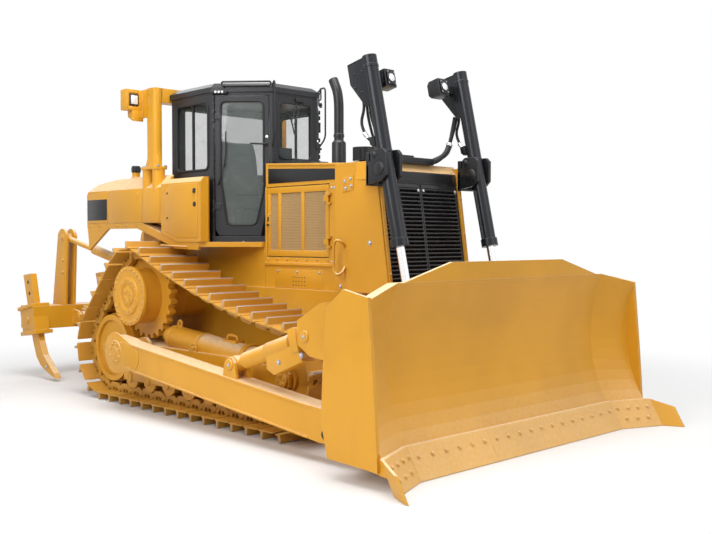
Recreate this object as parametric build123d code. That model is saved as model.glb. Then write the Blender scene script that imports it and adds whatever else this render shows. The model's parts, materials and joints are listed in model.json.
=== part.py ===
from build123d import *
import os
from math import atan2, ceil, cos, hypot, pi, sin

# Millimetres. X forward, Y to the left, Z up from the grouser tips.
ORIGIN_X = 100.0

# Track loop: pin line around the rear idler, raised sprocket and front idler.
TRACK_Y = 990.0
SHOE_WIDTH = 560.0
SHOES = 41
GROUSER = 70.0
GROUSER_TIP = 20.0
GROUSER_BASE = 44.0
PLATE = 16.0
PIN_TO_PLATE = 56.0
LINK_DROP = 52.0
RAIL_OFFSET = 92.0
RAIL_WIDTH = 52.0
REAR_IDLER = (-1466.0, 546.0)
REAR_IDLER_R = 420.0
SPROCKET = (-880.0, 1135.0)
SPROCKET_R = 434.0
SPROCKET_TEETH = 25
FRONT_IDLER = (1500.0, 522.0)
FRONT_IDLER_R = 396.0
TOP_SAG = 90.0
ROLLER_R = 105.0
ROLLER_COUNT = 7

# Push arms and blade.
TRUNNION = (-720.0, 590.0)
ARM_Y0 = 1305.0
ARM_Y1 = 1490.0
ARM_HEIGHT = 262.0
ARM_FRONT = (2640.0, 262.0)
STRUT_Y = 1400.0
STRUT_LOW = (1168.0, 645.0)
STRUT_HIGH = (2150.0, 960.0)
EDGE_X = 3255.0
EDGE_LEAN = 0.576
EDGE_TOP = 236.0
EDGE_THICK = 38.0
EDGE_CLEAR = 3.0
BLADE_TOP = 1400.0
BLADE_HALF = 1354.0
WING_Y = 1736.0
WING_TOP = 1310.0
WING_LOW_FORWARD = 160.0
WING_HIGH_FORWARD = 122.0
SPILL_TOP = 1543.0
SPILL_HALF = 733.0
TIP_X = 3600.0
TIP_Y = 1846.0

# Lift cylinders.
LIFT_Y = 595.0
YOKE = (2186.0, 2300.0)
LIFT_EYE = (2571.0, 600.0)
LIFT_R = 64.0
LIFT_ROD_R = 36.0
LIFT_BELOW = 655.0
LIFT_ABOVE = 994.0
EYE_SLACK = 18.0
FIT = 0.08

# Front end: guard, grille and hood.
GUARD_Y = 548.0
GUARD_REAR = 1486.0
GUARD_TOP = 2390.0
GUARD_BOTTOM = 1250.0
GUARD_WALL = 46.0
GUARD_LEAN = 0.144
HOOD_Y = 400.0
HOOD_REAR = 312.0
HOOD_TOP_REAR = 2467.0
HOOD_TOP_FRONT = 2408.0
HOOD_LOW = 2232.0
HOOD_SHEET = 26.0
SIDE_SHEET = 30.0
ENGINE_DOOR_X0 = 336.0
ENGINE_DOOR_X1 = 1240.0
ENGINE_DOOR_Z0 = 1550.0
ENGINE_DOOR_Z1 = 2224.0

# Chassis and deck.
FRAME_Y = 420.0
FRAME_TOP = 1240.0
DECK_LOW = 1640.0
DECK_Z = 1690.0
STEP_X = -485.0
CASE_REAR = -1850.0
CASE_FRONT = -1125.0
BELLY_REAR = -1850.0
TOW_X = 2030.0
TOW_R = 31.0

# Cab.
CAB_FRONT = (290.0, 300.0)
CAB_HINGE = (-160.0, 710.0)
CAB_REAR = (-905.0, 700.0)
CAB_SILL = 58.0
CAB_HEAD = 3157.0
ROOF_SKIRT = 33.0
ROOF_RIM = 50.0
ROOF_CROWN = 45.0
DOOR_GAP = 7.0
WAIST = 2420.0
WINDOW_DROP = 57.0
CAB_WALL = 42.0
DOOR_THICK = 42.0
GLASS = 8.0
KNUCKLE_R = 12.0
KNUCKLE_HALF = 30.0
HINGE_PIN_R = 6.0
CAB_HINGE_ZS = (2050.0, 2950.0)
ENGINE_HINGE_ZS = (1690.0, 2090.0)
HINGE_OUT = 16.0

# Rear body.
TANK_Y = 900.0
TANK_REAR = -2390.0
TANK_FRONT = -790.0
TANK_LOW = 1890.0
TANK_TOP = 2340.0
BOX_FRONT = -80.0
DOOR_RELIEF = 55.0
ROPS_X0 = -1080.0
ROPS_X1 = -920.0
ROPS_Y0 = 800.0
ROPS_Y1 = 900.0
ROPS_TOP = 3310.0

# Ripper: a parallelogram between the tractor's rear and the beam.
TILT_Y = 600.0
TILT_FRONT = (-2000.0, 1435.0)
TILT_REAR = (-3475.0, 1733.0)
LINK_Y = 500.0
LINK_FRONT = (-1790.0, 440.0)
LINK_REAR = (-3265.0, 738.0)
RAISE_Y = 300.0
RAISE_TOP = (-2020.0, 1460.0)
RAISE_EYE = (-2200.0, 640.0)
RAISE_GLAND = 590.0
RAISE_ROD = 500.0
RAISE_SLACK = 33.0
BEAM_X0 = -3740.0
BEAM_X1 = -3400.0
BEAM_Z0 = 610.0
BEAM_Z1 = 890.0
SHANK_Y = 1000.0
SHANK_T = 76.0


def block(x0, x1, y0, y1, z0, z1):
    """Box between two corners."""
    centre = ((x0 + x1) / 2, (y0 + y1) / 2, (z0 + z1) / 2)
    return Pos(*centre) * Box(abs(x1 - x0), abs(y1 - y0), abs(z1 - z0))


def prism_y(points, y0, y1):
    """Prism of an XZ outline between two Y planes."""
    plane = Plane((0, max(y0, y1), 0), x_dir=(1, 0, 0), z_dir=(0, -1, 0))
    return extrude(plane * make_face(Polyline(*points, close=True)), amount=abs(y1 - y0))


def prism_x(points, x0, x1):
    """Prism of a YZ outline between two X planes."""
    plane = Plane((min(x0, x1), 0, 0), x_dir=(0, 1, 0), z_dir=(1, 0, 0))
    return extrude(plane * make_face(Polyline(*points, close=True)), amount=abs(x1 - x0))


def prism_z(points, z0, z1):
    """Prism of an XY outline between two Z planes."""
    return extrude(Pos(0, 0, z0) * make_face(Polyline(*points, close=True)), amount=z1 - z0)


def rod(start, end, radius):
    """Round bar between two points."""
    axis = Vector(*end) - Vector(*start)
    plane = Plane(start, z_dir=axis)
    return plane * Cylinder(radius, axis.length, align=(Align.CENTER, Align.CENTER, Align.MIN))


def pin_y(x, z, y0, y1, radius):
    """Round bar along Y."""
    return rod((x, min(y0, y1), z), (x, max(y0, y1), z), radius)


def both(shape):
    """A shape and its mirror image across the centre plane."""
    return [shape, mirror(shape, about=Plane.XZ)]


def left(shape):
    """Mirror image of a right-hand shape."""
    return mirror(shape, about=Plane.XZ)


def circle_tangent(a, ra, b, rb):
    """Angle of the normal of the outer tangent line from circle a to circle b."""
    dx = b[0] - a[0]
    dz = b[1] - a[1]
    spread = (ra - rb) / hypot(dx, dz)
    return atan2(dz, dx) + pi / 2 - atan2(spread, (1 - spread * spread) ** 0.5)


def loop_points(step):
    """Evenly dense points of the pin line, anticlockwise seen from the right, from the ground run."""
    top = circle_tangent(SPROCKET, SPROCKET_R, FRONT_IDLER, FRONT_IDLER_R)
    back = circle_tangent(REAR_IDLER, REAR_IDLER_R, SPROCKET, SPROCKET_R)
    path = []
    ground = FRONT_IDLER[1] - FRONT_IDLER_R
    x = REAR_IDLER[0]
    while x < FRONT_IDLER[0]:
        path.append((x, ground))
        x += step

    def arc(centre, radius, start, end):
        count = max(2, ceil(radius * (end - start) / step))
        for i in range(count + 1):
            angle = start + (end - start) * i / count
            path.append((centre[0] + radius * cos(angle), centre[1] + radius * sin(angle)))

    arc(FRONT_IDLER, FRONT_IDLER_R, -pi / 2, top)
    start = path[-1]
    end = (SPROCKET[0] + SPROCKET_R * cos(top), SPROCKET[1] + SPROCKET_R * sin(top))
    count = ceil(hypot(end[0] - start[0], end[1] - start[1]) / step)
    for i in range(1, count):
        t = i / count
        sag = TOP_SAG * 4 * t * (1 - t)
        path.append((start[0] + (end[0] - start[0]) * t, start[1] + (end[1] - start[1]) * t - sag))
    arc(SPROCKET, SPROCKET_R, top, back)
    arc(REAR_IDLER, REAR_IDLER_R, back, 3 * pi / 2)
    return path


def shoe_stations():
    """Pin-line point, tangent and outward normal at the middle of each shoe."""
    path = loop_points(6.0)
    path.append(path[0])
    lengths = [0.0]
    for a, b in zip(path, path[1:]):
        lengths.append(lengths[-1] + hypot(b[0] - a[0], b[1] - a[1]))
    stations = []
    k = 0
    for i in range(2 * SHOES):
        goal = lengths[-1] * (i + 0.5) / (2 * SHOES)
        while lengths[k + 1] < goal:
            k += 1
        a, b = path[k], path[k + 1]
        t = (goal - lengths[k]) / (lengths[k + 1] - lengths[k])
        stations.append((a[0] + (b[0] - a[0]) * t, a[1] + (b[1] - a[1]) * t))
    return stations


def shoe_frames():
    """For each shoe, a function from its length and outward height to XZ."""
    marks = shoe_stations()
    frames = []
    for i in range(0, len(marks), 2):
        before, here, after = marks[i - 1], marks[i], marks[i + 1]
        length = hypot(after[0] - before[0], after[1] - before[1])
        tx = (after[0] - before[0]) / length
        tz = (after[1] - before[1]) / length

        def at(along, out, x=here[0], z=here[1], tx=tx, tz=tz):
            return (x + tx * along + tz * out, z + tz * along - tx * out)

        frames.append(at)
    return frames


def track():
    """Right-hand track: shoes in one outline, with the two link rails inside."""
    half = 102.0
    bar = -58.0
    tip = PIN_TO_PLATE + GROUSER
    under = PIN_TO_PLATE - PLATE
    outer = []
    inner = []
    rail_top = []
    rail_low = []
    for at in shoe_frames():
        outer += [at(-half, PIN_TO_PLATE), at(bar - GROUSER_BASE / 2, PIN_TO_PLATE), at(bar - GROUSER_TIP / 2, tip),
                  at(bar + GROUSER_TIP / 2, tip), at(bar + GROUSER_BASE / 2, PIN_TO_PLATE), at(half, PIN_TO_PLATE)]
        inner += [at(3 - half, under), at(half - 3, under)]
        rail_top += [at(-95, under + 5), at(95, under + 5)]
        rail_low += [at(-70, -LINK_DROP), at(70, -LINK_DROP)]
    y0 = -TRACK_Y - SHOE_WIDTH / 2
    y1 = -TRACK_Y + SHOE_WIDTH / 2
    body = prism_y(outer, y0, y1) - prism_y(inner, y0 - 10, y1 + 10)
    for offset in (-RAIL_OFFSET, RAIL_OFFSET):
        a = -TRACK_Y + offset - RAIL_WIDTH / 2
        b = -TRACK_Y + offset + RAIL_WIDTH / 2
        body += prism_y(rail_top, a, b) - prism_y(rail_low, a - 5, b + 5)
    return body


def sprocket():
    """Right-hand sprocket with its final-drive drum."""
    points = []
    for i in range(SPROCKET_TEETH):
        for part, radius in ((-0.32, SPROCKET_R - 26), (-0.14, SPROCKET_R + 16),
                             (0.14, SPROCKET_R + 16), (0.32, SPROCKET_R - 26)):
            angle = 2 * pi * (i + 0.5 + part) / SPROCKET_TEETH
            points.append((SPROCKET[0] + radius * cos(angle), SPROCKET[1] + radius * sin(angle)))
    x, z = SPROCKET
    body = prism_y(points, -TRACK_Y - 38, -TRACK_Y + 38)
    body += pin_y(x, z, -TRACK_Y - 30, -699.7, 240)
    body += pin_y(x, z, -1215, -TRACK_Y, 285)
    body += pin_y(x, z, -1250, -1200, 240)
    return body


def idler(centre, pin_radius):
    """Right-hand idler wheel: two treads and a guide flange."""
    x, z = centre
    tread = pin_radius - LINK_DROP - 12
    body = pin_y(x, z, -TRACK_Y - 124, -TRACK_Y + 124, tread)
    body += pin_y(x, z, -TRACK_Y - 58, -TRACK_Y + 58, tread + 16)
    for y0, y1 in ((-TRACK_Y - 130, -TRACK_Y - 90), (-TRACK_Y + 90, -TRACK_Y + 130)):
        body -= pin_y(x, z, y0, y1, tread - 55) - pin_y(x, z, y0, y1, 110)
    return body


def rollers():
    """Right-hand bottom rollers."""
    z = FRONT_IDLER[1] - FRONT_IDLER_R + LINK_DROP + ROLLER_R + 0.3
    span = 2080.0
    wheels = []
    for i in range(ROLLER_COUNT):
        x = -1020 + span * i / (ROLLER_COUNT - 1)
        wheel = pin_y(x, z, -TRACK_Y - 122, -TRACK_Y + 122, ROLLER_R)
        wheel += pin_y(x, z, -TRACK_Y - 143.7, -TRACK_Y - 121, ROLLER_R + 18)
        wheel += pin_y(x, z, -TRACK_Y + 121, -TRACK_Y + 143.7, ROLLER_R + 18)
        wheels.append(wheel)
    return wheels


def track_frame():
    """Right-hand roller frame with idler forks, recoil housing and arm trunnion."""
    yc = -TRACK_Y
    body = block(-1050, 1060, yc - 150, yc + 150, 412, 640)
    for y0, y1 in ((yc - 172, yc - 144), (yc + 144, yc + 172)):
        body += prism_y([(900, 420), (1500, 430), (1580, 470), (1580, 575), (1500, 615), (900, 640)], y0, y1)
        body += prism_y([(-900, 420), (-1466, 440), (-1560, 500), (-1560, 590), (-1466, 650), (-900, 640)],
                        y0, y1)
        body += prism_y([(-1130, 250), (1150, 250), (1150, 430), (-1130, 430)], y0, y1)
    body += rod((80, yc, 690), (1120, yc, 600), 118)
    for x, z in (FRONT_IDLER, REAR_IDLER):
        body -= pin_y(x, z, yc - 180, yc + 180, 62)
        body += pin_y(x, z, yc - 190, yc - 124.3, 62)
        body += pin_y(x, z, yc + 124.3, yc + 190, 62)
    tx, tz = TRUNNION
    body += pin_y(tx, tz, yc - 160, -ARM_Y1 + 12, 78)
    body += pin_y(tx, tz, yc - 185, yc - 150, 130)
    body += block(-760, -540, yc + 145, -FRAME_Y, 470, 620)
    body += block(900, 1040, yc + 145, -FRAME_Y, 480, 620)
    return body


def main_frame():
    """Belly, front crossmember, cab support, final drive housings and the lower ripper lugs."""
    body = block(BELLY_REAR, 1480, -FRAME_Y, FRAME_Y, 470, FRAME_TOP)
    body += block(1480, 1940, -400, 400, 640, FRAME_TOP)
    body += tow_eye()
    body += block(CASE_FRONT, 295, -400, 400, FRAME_TOP - 5, DECK_LOW)
    x, z = SPROCKET
    body += pin_y(x, z, -699.7, 699.7, 240)
    x, z = LINK_FRONT
    lug = [(x - 95, z - 20), (x - 60, z - 75), (x + 60, z - 75), (x + 110, z + 60), (x + 110, 660), (x - 40, 660)]
    for sign in (-1, 1):
        for y0, y1 in ((FRAME_Y, LINK_Y - 44), (LINK_Y + 44, LINK_Y + 78)):
            body += prism_y(lug, sign * y0, sign * y1)
        body += block(x - 30, x + 105, sign * (FRAME_Y - 5), sign * (LINK_Y + 78), 610, 660)
        body += pin_y(x, z, sign * (FRAME_Y - 5), sign * (LINK_Y + 80), 38)
    return body


def rear_case():
    """Transmission case and the tank's pedestal."""
    body = block(CASE_REAR, CASE_FRONT, -690, 690, FRAME_TOP, 1560)
    body += block(CASE_REAR, CASE_FRONT, -480, 480, 1555, TANK_LOW)
    return body


def tow_eye():
    """Front tow eye with its upright pin bore."""
    x = TOW_X
    eye = block(1900, x, -80, 80, 660, 730) + rod((x, 0, 660), (x, 0, 730), 80)
    return eye - rod((x, 0, 640), (x, 0, 750), TOW_R)


def engine_block():
    """Engine as one plain block."""
    return block(420, 1440, -290, 290, FRAME_TOP, 2150)


def guard_front(z):
    """X of the guard's leaning front face."""
    return 2057 + (1940 - z) * GUARD_LEAN


def radiator_guard():
    """Radiator guard: two cheeks, top, sill and the corner bosses of the lift yokes."""
    side = [(GUARD_REAR, GUARD_BOTTOM), (guard_front(GUARD_BOTTOM), GUARD_BOTTOM),
            (guard_front(GUARD_TOP - 90), GUARD_TOP - 90), (guard_front(GUARD_TOP) - 60, GUARD_TOP),
            (GUARD_REAR, GUARD_TOP)]
    body = prism_y(side, -GUARD_Y, GUARD_Y)
    inside = [(GUARD_REAR - 20, GUARD_BOTTOM - 20), (2300, GUARD_BOTTOM - 20), (2300, GUARD_TOP - 75),
              (GUARD_REAR - 20, GUARD_TOP - 75)]
    body -= prism_y(inside, -GUARD_Y + GUARD_WALL, GUARD_Y - GUARD_WALL)
    body += block(1500, 2060, -510, 510, FRAME_TOP, GUARD_BOTTOM + 12)
    z = YOKE[1]
    for shape in both(block(1900, 2030, -LIFT_Y - 90, -GUARD_Y + 40, z - 80, z + 70)):
        body += shape
    return body


def leaning_bar(z0, z1, back, front, y0, y1):
    """Bar parallel to the guard's front face, between two depths behind it."""
    points = [(guard_front(z0) - back, z0), (guard_front(z0) - front, z0),
              (guard_front(z1) - front, z1), (guard_front(z1) - back, z1)]
    return prism_y(points, y0, y1)


def grille():
    """Two louvred grille panels and the plain plate above them."""
    side = GUARD_Y - GUARD_WALL
    solids = []
    for sign in (-1, 1):
        a, b = sorted((sign * 4.0, sign * side))
        panel = leaning_bar(1275, 2205, 44, 8, a, b)
        panel -= leaning_bar(1312, 2172, 60, -10, a + 30, b - 30)
        for i in range(24):
            z = 1330 + 35.6 * i
            x = guard_front(z) - 26
            slat = [(x - 16, z - 13), (x - 12, z - 13), (x + 14, z + 13), (x + 10, z + 13)]
            panel += prism_y(slat, a + 29, b - 29)
        solids.append(panel)
    solids.append(leaning_bar(2212, GUARD_TOP - 75, 44, 4, -side, side))
    return solids


def hood_top(x):
    """Z of the hood's sloping top."""
    return HOOD_TOP_REAR + (HOOD_TOP_FRONT - HOOD_TOP_REAR) * (x - HOOD_REAR) / (GUARD_REAR - HOOD_REAR)


def under_hood(drop, y):
    """Prism of all that lies below the hood's top, lowered by a depth."""
    x0, x1 = HOOD_REAR - 5, GUARD_REAR + 5
    return prism_y([(x0, 2000), (x1, 2000), (x1, hood_top(x1) - drop), (x0, hood_top(x0) - drop)], -y, y)


def hood():
    """Hood top with its side strips down to the doors."""
    top = [(HOOD_REAR, HOOD_LOW), (GUARD_REAR, HOOD_LOW), (GUARD_REAR, HOOD_TOP_FRONT), (HOOD_REAR, HOOD_TOP_REAR)]
    body = prism_y(top, -HOOD_Y, HOOD_Y)
    return body - under_hood(HOOD_SHEET, HOOD_Y - SIDE_SHEET)


def engine_door():
    """Right-hand engine door, framed, with three recessed mesh panes."""
    x0, x1 = ENGINE_DOOR_X0, ENGINE_DOOR_X1
    body = block(x0, x1, -HOOD_Y, -HOOD_Y + SIDE_SHEET, ENGINE_DOOR_Z0, ENGINE_DOOR_Z1)
    rail = 46.0
    width = (x1 - x0 - 4 * rail) / 3
    for i in range(3):
        a = x0 + rail + i * (width + rail)
        body -= block(a, a + width, -HOOD_Y - 1, -HOOD_Y + 14, ENGINE_DOOR_Z0 + 60, ENGINE_DOOR_Z1 - 60)
    return body + engine_door_hinges()


def side_panel():
    """Right-hand chassis side below the door, with the strips before and behind the door."""
    y0, y1 = -HOOD_Y, -HOOD_Y + SIDE_SHEET
    body = block(300, GUARD_REAR, y0, y1, FRAME_TOP, ENGINE_DOOR_Z0 - 8)
    body += block(ENGINE_DOOR_X1 + 8, GUARD_REAR, y0, y1, ENGINE_DOOR_Z0 - 9, HOOD_LOW)
    body += block(300, ENGINE_DOOR_X0 - 8, y0, y1, ENGINE_DOOR_Z0 - 9, HOOD_LOW)
    return body + engine_post_hinges()


def lift_yoke():
    """Right-hand yoke on the guard's corner boss."""
    x, z = YOKE
    y = -LIFT_Y
    body = block(2030, 2062, y - 100, y + 100, z - 80, z + 70)
    cheek = [(2040, z - 80), (x + 5, z - 55), (x + 52, z - 10), (x + 45, z + 40), (x, z + 62), (2040, z + 70)]
    body += prism_y(cheek, y - 100, y - 70)
    body += prism_y(cheek, y + 70, y + 100)
    return body - pin_y(x, z, y - 110, y + 110, 30 + FIT)


def lift_point(along):
    """Point of the right-hand lift cylinder's axis, measured down from its yoke."""
    dx = LIFT_EYE[0] - YOKE[0]
    dz = LIFT_EYE[1] - YOKE[1]
    length = hypot(dx, dz)
    return (YOKE[0] + dx / length * along, -LIFT_Y, YOKE[1] + dz / length * along)


def lift_barrel():
    """Right-hand lift cylinder barrel with its trunnion pins."""
    x, z = YOKE
    body = rod(lift_point(-LIFT_ABOVE), lift_point(LIFT_BELOW), LIFT_R)
    body += rod(lift_point(LIFT_BELOW - 60), lift_point(LIFT_BELOW + 10), LIFT_R + 12)
    body += pin_y(x, z, -LIFT_Y - 98, -LIFT_Y + 98, 30)
    return body - rod(lift_point(-LIFT_ABOVE + 60), lift_point(LIFT_BELOW + 30), LIFT_ROD_R + FIT)


def lift_rod():
    """Right-hand lift rod with its eye and cross pin."""
    length = hypot(LIFT_EYE[0] - YOKE[0], LIFT_EYE[1] - YOKE[1])
    x, z = LIFT_EYE
    body = rod(lift_point(length - 1590), lift_point(length - 30), LIFT_ROD_R)
    body += pin_y(x, z, -LIFT_Y - 40, -LIFT_Y + 40, 60)
    return body + pin_y(x, z, -LIFT_Y - 80, -LIFT_Y + 80, 26)


def edge_plane(z, depth):
    """X of the plane of the cutting edges, at a depth behind its face."""
    return EDGE_X - EDGE_LEAN * z - depth


def front_curve():
    """XZ points of the mouldboard's hollow face, from the cutting edge up to the top."""
    arc = ThreePointArc((edge_plane(EDGE_TOP, EDGE_THICK), EDGE_TOP), (2915, 820), (3024, BLADE_TOP))
    points = [arc @ (i / 12) for i in range(13)]
    return [(p.X, p.Y) for p in points]


def blade_section(low, high, top):
    """XZ outline of the blade's box section, moved forward at its foot and at its top."""
    back = [(2929, BLADE_TOP), (2730, 1030), (2665, 700), (2665, 320), (2760, 150), (edge_plane(100, EDGE_THICK), 100)]
    points = []
    for x, z in front_curve() + back:
        share = max(0.0, (z - EDGE_TOP) / (BLADE_TOP - EDGE_TOP))
        height = z if share == 0 else EDGE_TOP + (top - EDGE_TOP) * share
        points.append((x + low + (high - low) * share, height))
    return points


def cross_face(points, y):
    """Face of an XZ outline in a plane across Y."""
    return Plane((0, y, 0), x_dir=(1, 0, 0), z_dir=(0, -1, 0)) * make_face(Polyline(*points, close=True))


def wing():
    """Right-hand wing, angled forward to the blade's end."""
    inner = cross_face(blade_section(0, 0, BLADE_TOP), -BLADE_HALF)
    outer = cross_face(blade_section(WING_LOW_FORWARD, WING_HIGH_FORWARD, WING_TOP), -WING_Y)
    return loft([inner, outer], ruled=True)


def blade_lugs():
    """Right-hand lugs behind the blade: rod eye and strut bracket."""
    x, z = LIFT_EYE
    y = -LIFT_Y
    ear = [(x - 80, z - 60), (x - 40, z - 100), (2690, z - 150), (2690, z + 150), (x - 40, z + 80), (x - 80, z + 50)]
    body = prism_y(ear, y - 86, y - 56) + prism_y(ear, y + 56, y + 86)
    body -= pin_y(x, z, y - 90, y + 90, 26 + EYE_SLACK)
    x, z = STRUT_HIGH
    bracket = [(x - 85, z - 70), (x - 90, z + 120), (2330, 1230), (2860, 1290), (2740, 760), (x + 60, z - 150)]
    ears = prism_y(bracket, -STRUT_Y - 80, -STRUT_Y - 52) + prism_y(bracket, -STRUT_Y + 52, -STRUT_Y + 80)
    ears -= pin_y(x, z, -STRUT_Y - 90, -STRUT_Y + 90, 30 + FIT)
    return body + ears


def blade():
    """Mouldboard with wings, spill guard, end plates and the lugs behind."""
    body = prism_y(blade_section(0, 0, BLADE_TOP), -BLADE_HALF, BLADE_HALF)
    for shape in both(wing()):
        body += shape
    spill = [(-BLADE_HALF, BLADE_TOP - 20), (-SPILL_HALF, SPILL_TOP), (SPILL_HALF, SPILL_TOP),
             (BLADE_HALF, BLADE_TOP - 20)]
    body += prism_x(spill, 2985, 3017)
    plate = [(2886, 1366), (3135, 1318), (3190, 690), (3230, 130), (2720, 150), (2655, 413), (2676, 814), (2719, 1233)]
    for shape in both(prism_y(plate, -WING_Y - 26, -WING_Y + 4)):
        body += shape
    for shape in both(blade_lugs()):
        body += shape
    return body


def edge_outline(forward, top):
    """XZ outline of a cutting edge bar, moved forward."""
    return [(edge_plane(EDGE_CLEAR, 0) + forward, EDGE_CLEAR), (edge_plane(top, 0) + forward, top),
            (edge_plane(top, EDGE_THICK) + forward, top),
            (edge_plane(EDGE_CLEAR, EDGE_THICK) + forward, EDGE_CLEAR)]


def end_bit():
    """Right-hand end bit: along the wing, then flared out to the tip."""
    slope = WING_LOW_FORWARD / (WING_Y - BLADE_HALF)
    start = BLADE_HALF + 1
    end = WING_Y + 26
    root = cross_face(edge_outline(slope * (start - BLADE_HALF), EDGE_TOP), -start)
    bend = cross_face(edge_outline(slope * (end - BLADE_HALF), EDGE_TOP), -end)
    body = loft([root, bend], ruled=True)
    tip = cross_face(edge_outline(TIP_X - edge_plane(EDGE_CLEAR, 0), EDGE_TOP - 60), -TIP_Y)
    return body + loft([bend, tip], ruled=True)


def blade_edges():
    """Three cutting-edge bars and the two end bits."""
    third = 2 * BLADE_HALF / 3
    solids = []
    for i in range(3):
        y0 = -BLADE_HALF + third * i
        solids.append(prism_y(edge_outline(0, EDGE_TOP), y0 + 1, y0 + third - 1))
    return solids + both(end_bit())


def push_arm():
    """Right-hand push arm: box beam from the trunnion cap to the blade, with the strut's ears."""
    tx, tz = TRUNNION
    fx, fz = ARM_FRONT
    length = hypot(fx - tx, fz - tz)
    ux, uz = (fx - tx) / length, (fz - tz) / length
    half = ARM_HEIGHT / 2

    def at(along, across):
        return (tx + ux * along - uz * across, tz + uz * along + ux * across)

    beam = [at(150, half), at(length - 300, half), (2665, fz + 120), (2665, 330), (2665, 320), at(length - 60, -half + 30),
            at(length - 300, -half), at(150, -half)]
    body = prism_y(beam, -ARM_Y1, -ARM_Y0)
    cap = [at(-210, 60), at(-120, 150), at(140, 150), at(230, half), at(230, -half), at(140, -150), at(-120, -150),
           at(-210, -60)]
    body += prism_y(cap, -ARM_Y1, -ARM_Y0 - 15)
    body -= pin_y(tx, tz, -ARM_Y1 + 8, -ARM_Y0 + 20, 78 + FIT)
    x, z = STRUT_LOW
    ear = [(x - 110, z - 160), (x - 70, z + 20), (x - 30, z + 66), (x + 30, z + 66), (x + 70, z + 20), (x + 110, z - 190)]
    ears = prism_y(ear, -STRUT_Y - 80, -STRUT_Y - 52) + prism_y(ear, -STRUT_Y + 52, -STRUT_Y + 80)
    ears -= pin_y(x, z, -STRUT_Y - 90, -STRUT_Y + 90, 30 + FIT)
    return body + ears


def strut(body_radius):
    """Right-hand strut from the arm's ears to the blade's bracket."""
    low = (STRUT_LOW[0], -STRUT_Y, STRUT_LOW[1])
    high = (STRUT_HIGH[0], -STRUT_Y, STRUT_HIGH[1])
    mid = tuple(a + (b - a) * 0.62 for a, b in zip(low, high))
    neck = tuple(a + (b - a) * 0.14 for a, b in zip(low, high))
    body = rod(low, neck, 42) + rod(neck, mid, body_radius) + rod(mid, high, 40)
    for x, _, z in (low, high):
        body += pin_y(x, z, -STRUT_Y - 48, -STRUT_Y + 48, 74)
        body += pin_y(x, z, -STRUT_Y - 80, -STRUT_Y + 80, 30)
    return body


def cab_plan(inset):
    """XY outline of the cab, moved inward."""
    right = []
    for (x, y), along in ((CAB_REAR, 1), (CAB_HINGE, -0.35), (CAB_FRONT, -1)):
        right.append((x + along * inset, -y + 1.1 * inset))
    return right + [(x, -y) for x, y in reversed(right)]


def door_plane():
    """Plane of the right-hand cab door's outer face, from the hinge post forward, and its length."""
    dx = CAB_FRONT[0] - CAB_HINGE[0]
    dy = CAB_HINGE[1] - CAB_FRONT[1]
    length = hypot(dx, dy)
    plane = Plane((CAB_HINGE[0], -CAB_HINGE[1], 0), x_dir=(dx / length, dy / length, 0),
                  z_dir=(dy / length, -dx / length, 0))
    return plane, length


def on_door(points, outer, inner):
    """Prism of an outline on the door plane, between two heights over its face."""
    plane, _ = door_plane()
    return extrude(plane.offset(inner) * make_face(Polyline(*points, close=True)), amount=outer - inner)


def cab_hinge_point(z):
    """Point on the right-hand cab door's hinge axis."""
    plane, _ = door_plane()
    p = plane.origin + plane.x_dir * 15 + plane.z_dir * HINGE_OUT
    return (p.X, p.Y, z)


def engine_hinge_point(z):
    """Point on the right-hand engine door's hinge axis."""
    return (ENGINE_DOOR_X1 + 4, -HOOD_Y - HINGE_OUT, z)


def knuckle(point):
    """Hinge knuckle around an upright axis, with its pin hole."""
    x, y, z = point
    body = rod((x, y, z - KNUCKLE_HALF), (x, y, z + KNUCKLE_HALF), KNUCKLE_R)
    return body - rod((x, y, z - 50), (x, y, z + 50), HINGE_PIN_R + FIT)


def hinge_pin(point):
    """Hinge pin through a knuckle."""
    x, y, z = point
    return rod((x, y, z - KNUCKLE_HALF - 20), (x, y, z + KNUCKLE_HALF + 20), HINGE_PIN_R)


def upright(u0, u1, z0, z1):
    """Rectangle in a door plane."""
    return [(u0, z0), (u1, z0), (u1, z1), (u0, z1)]


def cab_door_hinges():
    """Straps and knuckles on the right-hand cab door."""
    body = None
    for z in CAB_HINGE_ZS:
        strap = on_door(upright(28, 90, z - 28, z + 28), 12, -1) + on_door(upright(16, 32, z - 28, z + 28), 12, 5)
        point = cab_hinge_point(z)
        strap -= rod((point[0], point[1], z - 50), (point[0], point[1], z + 50), KNUCKLE_R - 2)
        piece = strap + knuckle(point)
        body = piece if body is None else body + piece
    return body


def cab_post_hinges():
    """Ears and pins on the right-hand hinge post."""
    body = None
    for z in CAB_HINGE_ZS:
        piece = hinge_pin(cab_hinge_point(z))
        for z0 in (z - KNUCKLE_HALF - 25, z + KNUCKLE_HALF + 1):
            piece += on_door(upright(3, 27, z0, z0 + 24), HINGE_OUT + 12, -5)
        body = piece if body is None else body + piece
    return body


def engine_door_hinges():
    """Straps and knuckles on the right-hand engine door."""
    y = -HOOD_Y
    body = None
    for z in ENGINE_HINGE_ZS:
        x = ENGINE_DOOR_X1
        strap = block(x - 60, x - 4, y - 12, y + 1, z - 28, z + 28) + block(x - 8, x + 4, y - 12, y - 5, z - 28, z + 28)
        point = engine_hinge_point(z)
        strap -= rod((point[0], point[1], z - 50), (point[0], point[1], z + 50), KNUCKLE_R - 2)
        piece = strap + knuckle(point)
        body = piece if body is None else body + piece
    return body


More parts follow.
